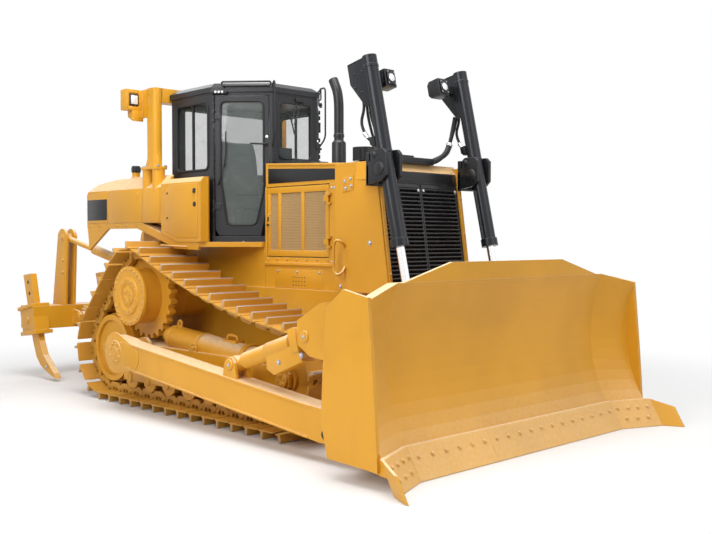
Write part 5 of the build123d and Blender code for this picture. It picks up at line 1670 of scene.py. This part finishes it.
@dataclass
class RearBody:
    """Tank skins, cap, blank plates, box panels, lamps and the rollover posts' feet."""

    tank_y: float = 900.0
    low: float = 1894.0
    edge: float = 2262.0
    crown: float = 2395.0
    bevel: float = 140.0
    rear: float = -2390.0
    cap: Point = (-1640.0, 698.0, 2461.0)
    seams: tuple[Pair, ...] = ((-2382.0, -1908.0), (-1898.0, -1182.0), (-1172.0, -832.0))

    def tank(self) -> None:
        """Tank with bevelled sides, a top that falls away at the back, and its filler neck."""
        shaper = Shaper()
        slope = self.bevel / (self.crown - self.edge)

        def section(x: float, top: float) -> list[Vector]:
            """Outline across the tank at one place."""
            half = self.tank_y - max(1.0, (top - self.edge) * slope)
            side = min(self.edge, top - 1)
            return [at(x, y, z) for y, z in ((-self.tank_y, self.low - 4), (-self.tank_y, side), (-half, top),
                    (half, top), (self.tank_y, side), (self.tank_y, self.low - 4))]

        rows = ((0, 2230), (30, 2262), (110, 2350), (490, self.crown), (1465, self.crown))
        shaper.loft([section(self.rear + x, top) for x, top in rows])
        for _, sign in SIDES:
            end = [at(-926, sign * y, z) for y, z in ((756, self.low - 4), (756, self.crown),
                    (self.tank_y - self.bevel, self.crown), (self.tank_y, self.edge),
                    (self.tank_y, self.low - 4))]
            shaper.prism(end, by(136, 0, 0))
        x, y, z = self.cap
        shaper.turned(at(x, -y, self.crown - 20), UP, [(0, 56), (30, 56), (38, 44),
                (z - self.crown + 24, 44)], 24)
        settle(shaper.piece("fuel_tank_body", Finish.YELLOW), "tractor", Slot.YELLOW, "fuel_tank")

    def posts(self) -> None:
        """Rollover posts with rounded corners, flared feet on round pads, and the lamp boxes."""
        shaper = Shaper()
        for _, sign in SIDES:
            corners = [at(x, sign * y, 2480) for x, y in ((-1096, 798), (-916, 798), (-916, 904),
                    (-1096, 904))]
            shaper.prism(eased(corners, 50, 6, True), by(0, 0, 830))
            pad = [at(x, sign * y, 2455) for x, y in ((-1212, 760), (-880, 760), (-880, 910), (-1212, 910))]
            shaper.prism(eased(pad, 50, 5, True), by(0, 0, 30), 3)
            flare = upright(sign * 828, (-1160, 2483), (-892, 2483), (-922, 2640), (-1090, 2640))
            shaper.prism(flare, by(0, sign * 46, 0), 6)
            for x in (-1142, -948):
                shaper.turned(at(x, sign * 840, 2202), UP, [(0, 66), (256, 66)], 24)
            plate = upright(sign * 892, (-1210, 3010), (-1060, 3010), (-1060, 3309), (-1170, 3309),
                            (-1210, 3265))
            shaper.prism(plate, by(0, -sign * 28, 0), 3)
            back, front, inner, outer = -1300, -1192, 880, 1085
            shaper.box(at(back, sign * inner, 3085), at(front, sign * outer, 3305), 8)
            for y0, y1, z0, z1 in ((inner, 928, 3085, 3305), (1052, outer, 3085, 3305),
                                   (928, 1052, 3085, 3125), (928, 1052, 3265, 3305)):
                shaper.box(at(front - 2, sign * y0, z0 + 1), at(-1180, sign * y1, z1 - 1), 2)
            arm = upright(sign * 1010, (-1280, 3088), (-1280, 3020), (-1180, 2970), (-1180, 3088))
            shaper.prism(arm, by(0, -sign * 130, 0), 4)
        settle(shaper.piece("rollover_posts", Finish.YELLOW), "tractor", Slot.YELLOW, "rops_posts")

    def stack(self) -> None:
        """Exhaust stack with a flared foot and a mouth bent to the rear."""
        shaper = Shaper()
        x, y, foot = 1270.0, -300.0, 2408.0
        shaper.turned(at(x, y, foot - 10), UP, [(0, 66), (206, 66), (214, 62), (232, 46)], 32)
        bend = eased(upright(y, (x, foot + 210), (x, foot + 640), (x - 78, foot + 790)), 140, 10)
        shaper.tube(bend, 45, 28)
        way = (bend[-1] - bend[-2]).normalized()
        # Matt black disc in the mouth stands for the open bore: painted shade inside the pipe.
        shaper.turned(bend[-1], way, [(-2, 38), (1.5, 38)], 28, 1)
        shaper.turned(at(x, y, foot + 250), UP, [(0, 46), (3, 50), (30, 50), (33, 46)], 28)
        settle(shaper.piece("exhaust_stack", Finish.BLACK, Finish.RUBBER), "tractor", Slot.BLACK, "exhaust")

    def box_panels(self) -> None:
        """Raised access panels on the boxes beside the cab."""
        shaper = Shaper()
        for _, sign in SIDES:
            panel = upright(sign * 911, (-735, 1806), (-478, 1732), (-128, 1732), (-128, 2276), (-640, 2276),
                            (-735, 2160))
            shaper.prism(panel, by(0, sign * 6, 0), 2.5)
        settle(shaper.piece("box_panels", Finish.YELLOW), "tractor", Slot.YELLOW)

    def skins(self) -> None:
        """Sheets on the tank's sides, parted by narrow seams, with a catch and the fender's rail."""
        shaper = Shaper()
        for _, sign in SIDES:
            for x0, x1 in self.seams:
                top = self.edge - (42 if x0 < self.rear + 50 else 6)
                face = upright(sign * (self.tank_y - 1), (x0, self.low + 4), (x1, self.low + 4),
                               (x1, self.edge - 6), (x0, top))
                shaper.prism(face, by(0, sign * 5, 0), 1.6)
            shaper.box(at(-1276, sign * 902, 2160), at(-1264, sign * 916, 2212), 3)
            rail = [at(-800, sign * 898, 1652), at(-790, sign * 922, 1654), at(-340, sign * 922, 1642),
                    at(-330, sign * 898, 1640)]
            shaper.tube(eased(rail, 12, 4), 10, 10)
        settle(shaper.piece("tank_skins", Finish.YELLOW), "tractor", Slot.YELLOW)

    def black_pieces(self) -> None:
        """Plain plates at the tank's rear ends, filler cap, catches and lamp frames."""
        shaper = Shaper()
        for _, sign in SIDES:
            out = Vector((0, sign, 0))
            plate = upright(sign * 903, (-2372, 1932), (-1924, 1932), (-1924, 2168), (-2372, 2168))
            shaper.prism(plate, out * mm(3), 1)
            shaper.turned(at(-175, sign * 916, 2066), out, [(0, 26), (5, 26), (8, 20)], 22)
            shaper.turned(at(-175, sign * 916, 2206), out, [(0, 22), (10, 20), (14, 14)], 18)
            shaper.box(at(-190, sign * 915, 2176), at(-160, sign * 932, 2200), 4)
            for z in (2189, 1936):
                shaper.turned(at(-667, sign * 916, z), out, [(0, 11), (5, 11), (7, 7)], 12)
            face = [at(-1189, sign * 938, 3134), at(-1189, sign * 1042, 3134), at(-1189, sign * 1042, 3256),
                    at(-1189, sign * 938, 3256)]
            shaper.prism(face, by(12, 0, 0), 5)
            lens = [p.lerp(sum(face, Vector()) / 4, 0.2) + by(8, 0, 0) for p in face]
            shaper.prism(lens, by(8, 0, 0), 3, 1)
        x, y, z = self.cap
        shaper.turned(at(x, -y, z), UP, [(0, 48), (6, 49), (64, 49), (74, 42), (75, 20)], 24)
        for k in range(8):
            turn = math.pi * k / 4
            shaper.box(at(x + 48 * math.cos(turn) - 5, -y + 48 * math.sin(turn) - 5, z + 10),
                       at(x + 48 * math.cos(turn) + 5, -y + 48 * math.sin(turn) + 5, z + 58), 2)
        settle(shaper.piece("rear_fittings", Finish.BLACK, Finish.LENS), "tractor", Slot.BLACK)

    def rear_lamps(self) -> None:
        """Work lamps under the rollover bar, facing rearward."""
        shaper = Shaper()
        for y in (-420, 420):
            shaper.box(at(-1150, y - 75, 3190), at(-1082, y + 75, 3290), 10)
            shaper.box(at(-1156, y - 58, 3204), at(-1146, y + 58, 3276), 4, 1)
        settle(shaper.piece("rear_lamps", Finish.BLACK, Finish.LENS), "tractor", Slot.BLACK)

    def build(self, bolts: Fasteners) -> None:
        """Dress the rear body.

        Args:
            bolts: Collection that the bolts go to.
        """
        self.tank()
        self.posts()
        self.stack()
        self.box_panels()
        self.skins()
        self.black_pieces()
        self.rear_lamps()
        for _, sign in SIDES:
            out = Vector((0, sign, 0))
            for x, y in ((-1182, 880), (-1182, 790), (-1120, 886), (-896, 880), (-896, 790)):
                bolts.bolt("tractor", at(x, sign * y, 2485), UP, 14, Finish.STEEL)
            bolts.row("tractor", at(-450, sign * 850, 1690), at(-170, sign * 850, 1690), 4, UP, 9,
                      Finish.STEEL)
            bolts.row("tractor", at(-500, sign * 720, 1690), at(100, sign * 520, 1690), 4, UP, 9,
                      Finish.STEEL)
            bolts.row("tractor", at(-2300, sign * 900, 1865), at(-1300, sign * 900, 1865), 6, out, 9)
        bolts.row("tractor", at(self.rear, -700, 1960), at(self.rear, 700, 1960), 6, Vector((-1, 0, 0)), 11)
        for y in (-640, -420, 420, 640):
            bolts.row("tractor", at(-1890, y, 1200), at(-1890, y, 1360), 2, Vector((-1, 0, 0)), 18)


@dataclass
class BladeGear:
    """Bolts of the cutting edges, pin caps, and fittings of the push arms and struts."""

    edge_x: float = 3255.0
    lean: float = 0.576
    half: float = 1354.0
    wing: float = 1736.0
    forward: float = 160.0

    def edge(self, y: float, z: float) -> Vector:
        """Point on the face of the cutting edges."""
        push = max(0.0, abs(y) - self.half) * self.forward / (self.wing - self.half)
        return at(self.edge_x - self.lean * z + push, y, z)

    def arm(self, shaper: Shaper, sign: int) -> None:
        """Flange lips, trunnion cap, dark bores, strut sleeve and strut head of one push arm."""
        out = Vector((0, sign, 0))
        root = at(-720, sign * 1488, 590)
        way = at(2640, sign * 1488, 262) - root
        length = way.length
        along = way.normalized()
        up = Vector((-along.z, 0, along.x))
        for low in (mm(113), -mm(131)):
            strip = [root + along * a + up * u for a, u in ((0.15, low), (length - 0.43, low),
                    (length - 0.43, low + mm(18)), (0.15, low + mm(18)))]
            shaper.prism(strip, out * mm(10), 3)
        disc = wrapped([(-720, 590, 204), (-402, 559, 118)], sign * 1488)
        shaper.prism(disc, out * mm(8), 3)
        shaper.turned(root + out * mm(6), out, [(0, 124), (8, 120), (9, 112)], 36)
        for across in (52, -58):
            bore = root + along * (length - 0.245) + up * mm(across)
            shaper.turned(bore, out, [(1, 36), (3, 36)], 24, 1)
        low = at(1168, sign * 1400, 645)
        bar = at(2150, sign * 1400, 960) - low
        thick = 78 if sign < 0 else 62
        shaper.turned(low + bar * 0.42, bar, [(0, thick - 24), (40, thick), (358, thick), (362, thick - 10)],
                      32)
        rise = Vector((-bar.z, 0, bar.x)).normalized()
        head = [low + bar * s + rise * mm(u) for s, u in ((0.8, 105), (0.89, 105), (0.89, -95), (0.8, -95))]
        shaper.prism([p - out * mm(78) for p in head], out * mm(156), 10)
        if sign < 0:
            guard = [low + bar * s + rise * mm(u) for s, u in ((0.48, -30), (0.46, -140), (0.53, -205),
                    (0.9, -178), (0.88, -94), (0.78, -30))]
            shaper.prism([p - out * mm(68) for p in guard], out * mm(136), 6)

    def build(self, bolts: Fasteners) -> None:
        """Dress the blade and its arms.

        Args:
            bolts: Collection that the bolts go to.
        """
        third = 2 * self.half / 3
        face = Vector((1, 0, self.lean))
        for i in range(3):
            start = -self.half + third * i
            bolts.row("blade", self.edge(start + 75, 158), self.edge(start + third - 75, 158), 6, face, 15,
                      Finish.EDGE)
        slope = self.forward / (self.wing - self.half)
        for _, sign in SIDES:
            aim = Vector((1, -sign * slope, self.lean))
            bolts.row("blade", self.edge(sign * 1400, 172), self.edge(sign * 1700, 172), 4, aim, 15,
                      Finish.EDGE)
            bolts.row("blade", self.edge(sign * 1440, 84), self.edge(sign * 1660, 84), 3, aim, 15,
                      Finish.EDGE)
        shaper = Shaper()
        for _, sign in SIDES:
            out = Vector((0, sign, 0))
            for x, z in ((1168, 645), (2150, 960)):
                for y, way in ((1480, out), (1320, -out)):
                    shaper.turned(at(x, sign * y, z), way, [(0, 50), (8, 48), (12, 38), (12, 16), (6, 13)],
                                  20)
                bolts.bolt("blade", at(x, sign * 1490, z), out, 11, Finish.STEEL)
            self.arm(shaper, sign)
            cap = at(-720, sign * 1502, 590)
            bolts.ring("blade", cap, out, 92, 8, 12)
            shaper.turned(cap - out * mm(2), out, [(0, 58), (8, 55), (10, 40), (10, 14), (5, 10)], 24)
            for y in (509, 681):
                shaper.turned(at(2571, sign * y, 600), out if y > 600 else -out,
                              [(0, 62), (8, 60), (12, 46), (12, 18), (7, 14)], 24)
            for x, z in ((-600, 470), (-600, 690), (-470, 460), (-470, 680)):
                bolts.bolt("blade", at(x, sign * 1490, z), out, 11)
        for x, z in ((1819, 726), (2100, 808)):
            bolts.bolt("blade", at(x, -1468, z), Vector((0, -1, 0)), 16, Finish.STEEL)
        settle(shaper.piece("blade_fittings", Finish.YELLOW, Finish.RUBBER), "blade", Slot.YELLOW)


@dataclass
class RipperGear:
    """Pin caps, fasteners, tower plates and shank collars of the ripper."""

    tilt_rear: Pair = (-3475.0, 1733.0)
    link_rear: Pair = (-3265.0, 738.0)
    link_front: Pair = (-1790.0, 440.0)
    shanks: tuple[float, ...] = (-1000.0, 0.0, 1000.0)

    @staticmethod
    def cap(shaper: Shaper, place: Vector, out: Vector, radius: float) -> None:
        """Add one round cap over a pin's end."""
        steps = [(0.0, 1.0), (8.0, 0.96), (12.0, 0.78), (12.0, 0.3), (7.0, 0.24)]
        shaper.turned(place, out, [(d, radius * share) for d, share in steps], 20)

    def build(self, bolts: Fasteners) -> None:
        """Dress the ripper.

        Args:
            bolts: Collection that the bolts go to.
        """
        ripper = Shaper()
        tractor = Shaper()
        for _, sign in SIDES:
            out = Vector((0, sign, 0))
            for x, z, inner, outer in ((*self.tilt_rear, 528, 672), (*self.link_rear, 428, 572)):
                self.cap(ripper, at(x, sign * (outer - 1), z), out, 54)
                self.cap(ripper, at(x, sign * (inner + 1), z), -out, 54)
                bolts.bolt("ripper", at(x, sign * (outer + 10), z), out, 11, Finish.STEEL)
            self.cap(tractor, at(self.link_front[0], sign * 579, self.link_front[1]), out, 54)
            for x, z, y in ((-2000, 1435, 671), (-2020, 1460, 387)):
                self.cap(tractor, at(x, sign * y, z), out, 46)
            bolts.row("ripper", at(-3458, sign * 674, 1456), at(-3458, sign * 674, 1300), 2, out, 15)
            for low in (527, 641):
                tower = wrapped([(*self.tilt_rear, 118), (-3728, 902, 12), (-3422, 902, 12)], sign * low)
                ripper.prism(tower, out * mm(33), 3)
        for y in self.shanks:
            for x, z in ((-3668, 1180), (-3630, 1040)):
                ripper.turned(at(x, y - 39, z), Vector((0, 1, 0)), [(0, 24), (78, 24)], 18, 2)
            for collar in (((-3796, 855), (-3420, 931), (-3411, 886), (-3787, 810)),
                           ((-3714, 552), (-3332, 608), (-3325, 562), (-3707, 506))):
                ripper.prism([at(x, y - 122, z) for x, z in collar], by(0, 244, 0), 4)
            for sign in (-1, 1):
                spot = at(-3560, y + sign * 94, 710)
                ripper.turned(spot, Vector((0, sign, 0)), [(0, 46), (16, 44), (20, 34), (20, 12)], 20)
                bolts.row("ripper", at(-3755, y + sign * 122, 840), at(-3460, y + sign * 122, 900), 3,
                          Vector((0, sign, 0)), 10)
                bolts.bolt("ripper", at(-3160, y + sign * 52, 170), Vector((0, sign, 0)), 13, Finish.STEEL)
        settle(ripper.piece("ripper_fittings", Finish.YELLOW, Finish.STEEL, Finish.RUBBER), "ripper",
               Slot.YELLOW)
        settle(tractor.piece("ripper_link_caps", Finish.YELLOW), "tractor", Slot.YELLOW)


@dataclass
class PaintShop:
    """Gives each node of the frame its finish."""

    wheels: tuple[str, ...] = ("sprockets", "idlers", "track_rollers")
    track: tuple[str, ...] = ("track_right", "track_left")
    black: tuple[str, ...] = ("grille", "exhaust", "precleaner", "lift_yokes")
    barrels: tuple[str, ...] = ("lift_barrel_right", "lift_barrel_left")
    charcoal: tuple[str, ...] = ("cab_floor", "cab_front", "cab_sides", "cab_rear", "cab_roof",
                                 "cab_door_right", "cab_door_left")
    glass: tuple[str, ...] = ("cab_glass",)
    door_glass: tuple[str, ...] = ("door_glass_right", "door_glass_left")
    chrome: tuple[str, ...] = ("lift_rod_right", "lift_rod_left", "raise_rod_right", "raise_rod_left")
    edges: tuple[str, ...] = ("blade_edges",)
    iron: tuple[str, ...] = ("engine_block",)

    def finish_of(self, node: str) -> Finish:
        """Finish of a node.

        Args:
            node: Name of the node.

        Returns:
            The finish that it wears.
        """
        choices = ((self.wheels, Finish.WHEEL), (self.track, Finish.TRACK), (self.black, Finish.BLACK),
                   (self.barrels, Finish.BARREL), (self.charcoal, Finish.CHARCOAL),
                   (self.glass, Finish.GLASS), (self.door_glass, Finish.DOOR_GLASS),
                   (self.chrome, Finish.CHROME), (self.edges, Finish.EDGE), (self.iron, Finish.IRON))
        for names, finish in choices:
            if node in names:
                return finish
        return Finish.YELLOW

    def dress(self, nodes: dict[str, bpy.types.Object]) -> None:
        """Paint every node.

        Args:
            nodes: Objects of the frame by name.
        """
        for name, node in nodes.items():
            node.data.materials.clear()
            node.data.materials.append(self.finish_of(name).material())
        LOG.info("painted %d nodes", len(nodes))


@dataclass
class Studio:
    """Pale floor, soft lamps and the camera at the photograph's angle."""

    eye: Point = (7.793, -6.250, 1.714)
    yaw: float = 46.155
    dip: float = 1.669
    lens: float = 47.66
    floor_size: float = 160.0
    fade: Pair = (2.6, 7.5)
    fill: float = 0.36
    sensor: float = 36.0
    reach: float = 400.0
    middle: float = 1.2

    def build(self) -> None:
        """Set up everything round the machine."""
        self.camera()
        self.floor()
        self.world()
        self.lamp("top_lamp", (2.5, -2.0, 9.5), 7.0, 1050.0)
        self.lamp("key_lamp", (2.5, -9.0, 6.0), 5.0, 430.0)
        self.lamp("front_lamp", (10.0, 1.5, 5.0), 6.0, 170.0)
        self.lamp("rear_lamp", (-8.0, 5.0, 7.0), 7.0, 220.0)
        bpy.context.scene.view_settings.view_transform = "Standard"

    def camera(self) -> None:
        """Place the camera."""
        yaw = math.radians(self.yaw)
        dip = math.radians(self.dip)
        toward = Vector((-math.sin(yaw) * math.cos(dip), math.cos(yaw) * math.cos(dip), -math.sin(dip)))
        data = bpy.data.cameras.new("camera")
        data.lens = self.lens
        data.sensor_width = self.sensor
        data.clip_end = self.reach
        camera = bpy.data.objects.new("camera", data)
        camera.location = self.eye
        camera.rotation_mode = "QUATERNION"
        camera.rotation_quaternion = toward.to_track_quat("-Z", "Y")
        bpy.context.scene.collection.objects.link(camera)
        bpy.context.scene.camera = camera

    def floor(self) -> None:
        """Lay the floor, which fades to white away from the machine and stays grey round it as a painted soft
        shade.
        """
        half = self.floor_size / 2
        mesh = bpy.data.meshes.new("studio_floor")
        mesh.from_pydata([(-half, -half, 0), (half, -half, 0), (half, half, 0), (-half, half, 0)], [],
                         [(0, 1, 2, 3)])
        recipe = Recipe("floor_paper")
        seen = self.seen(recipe)
        tone = recipe.mix(recipe.noise(3.0), (0.70, 0.70, 0.70), (0.73, 0.73, 0.73))
        near = recipe.add("ShaderNodeBsdfPrincipled", sockets={"Base Color": tone, "Roughness": 0.9,
                "Specular IOR Level": 0.1})
        far = recipe.add("ShaderNodeEmission", sockets={"Color": (1, 1, 1, 1), "Strength": 1.0})
        reach = recipe.add("ShaderNodeVectorMath", {"operation": "LENGTH"}, {0: recipe.place()}, "Value")
        # Lamp-lit grey near the machine, flat white beyond the fade: the floor is darker round the machine as
        # a painted soft shade, on top of the lamps' own shadows.
        both = recipe.add("ShaderNodeMixShader", sockets={0: reach.ramp(*self.fade) * seen, 1: near, 2: far})
        recipe.add("ShaderNodeOutputMaterial", sockets={"Surface": both})
        mesh.materials.append(recipe.owner)
        link("studio_floor", mesh)

    @staticmethod
    def seen(recipe: Recipe) -> Wire:
        """One for camera, glossy and transmitted rays, and zero for the light that falls on the machine."""
        camera = recipe.add("ShaderNodeLightPath", output="Is Camera Ray")
        glossy = recipe.add("ShaderNodeLightPath", output="Is Glossy Ray")
        passed = recipe.add("ShaderNodeLightPath", output="Is Transmission Ray")
        return (camera + glossy + passed).least(1.0)

    def world(self) -> None:
        """Even white surroundings, dimmer for the light that falls on the machine."""
        recipe = Recipe("studio_world", surroundings=True)
        strength = self.seen(recipe) * (1.0 - self.fill) + self.fill
        back = recipe.add("ShaderNodeBackground", sockets={"Color": (1, 1, 1, 1), "Strength": strength})
        recipe.add("ShaderNodeOutputWorld", sockets={"Surface": back})
        bpy.context.scene.world = recipe.owner

    def lamp(self, name: str, place: Point, size: float, watts: float) -> None:
        """Hang one soft lamp that faces the machine.

        Args:
            name: Name of the lamp.
            place: Where it hangs.
            size: Side of its square panel.
            watts: Its power.
        """
        data = bpy.data.lights.new(name, "AREA")
        data.size = size
        data.energy = watts
        lamp = bpy.data.objects.new(name, data)
        lamp.location = place
        lamp.rotation_mode = "QUATERNION"
        lamp.rotation_quaternion = (Vector((0, 0, self.middle)) - Vector(place)).to_track_quat("-Z", "Y")
        bpy.context.scene.collection.objects.link(lamp)


def main() -> None:
    """Build the scene."""
    logging.basicConfig(level=logging.INFO)
    for thing in list(bpy.data.objects):
        bpy.data.objects.remove(thing)
    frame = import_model()
    PaintShop().dress(frame["nodes"])
    bolts = Fasteners()
    TrackChain().build()
    Undercarriage().build(bolts)
    LiftGear().build(bolts)
    FrontEnd().build(bolts)
    Cab().build()
    Seat().build()
    RearBody().build(bolts)
    BladeGear().build(bolts)
    RipperGear().build(bolts)
    bolts.build()
    Studio().build()


if __name__ == "__main__":
    main()
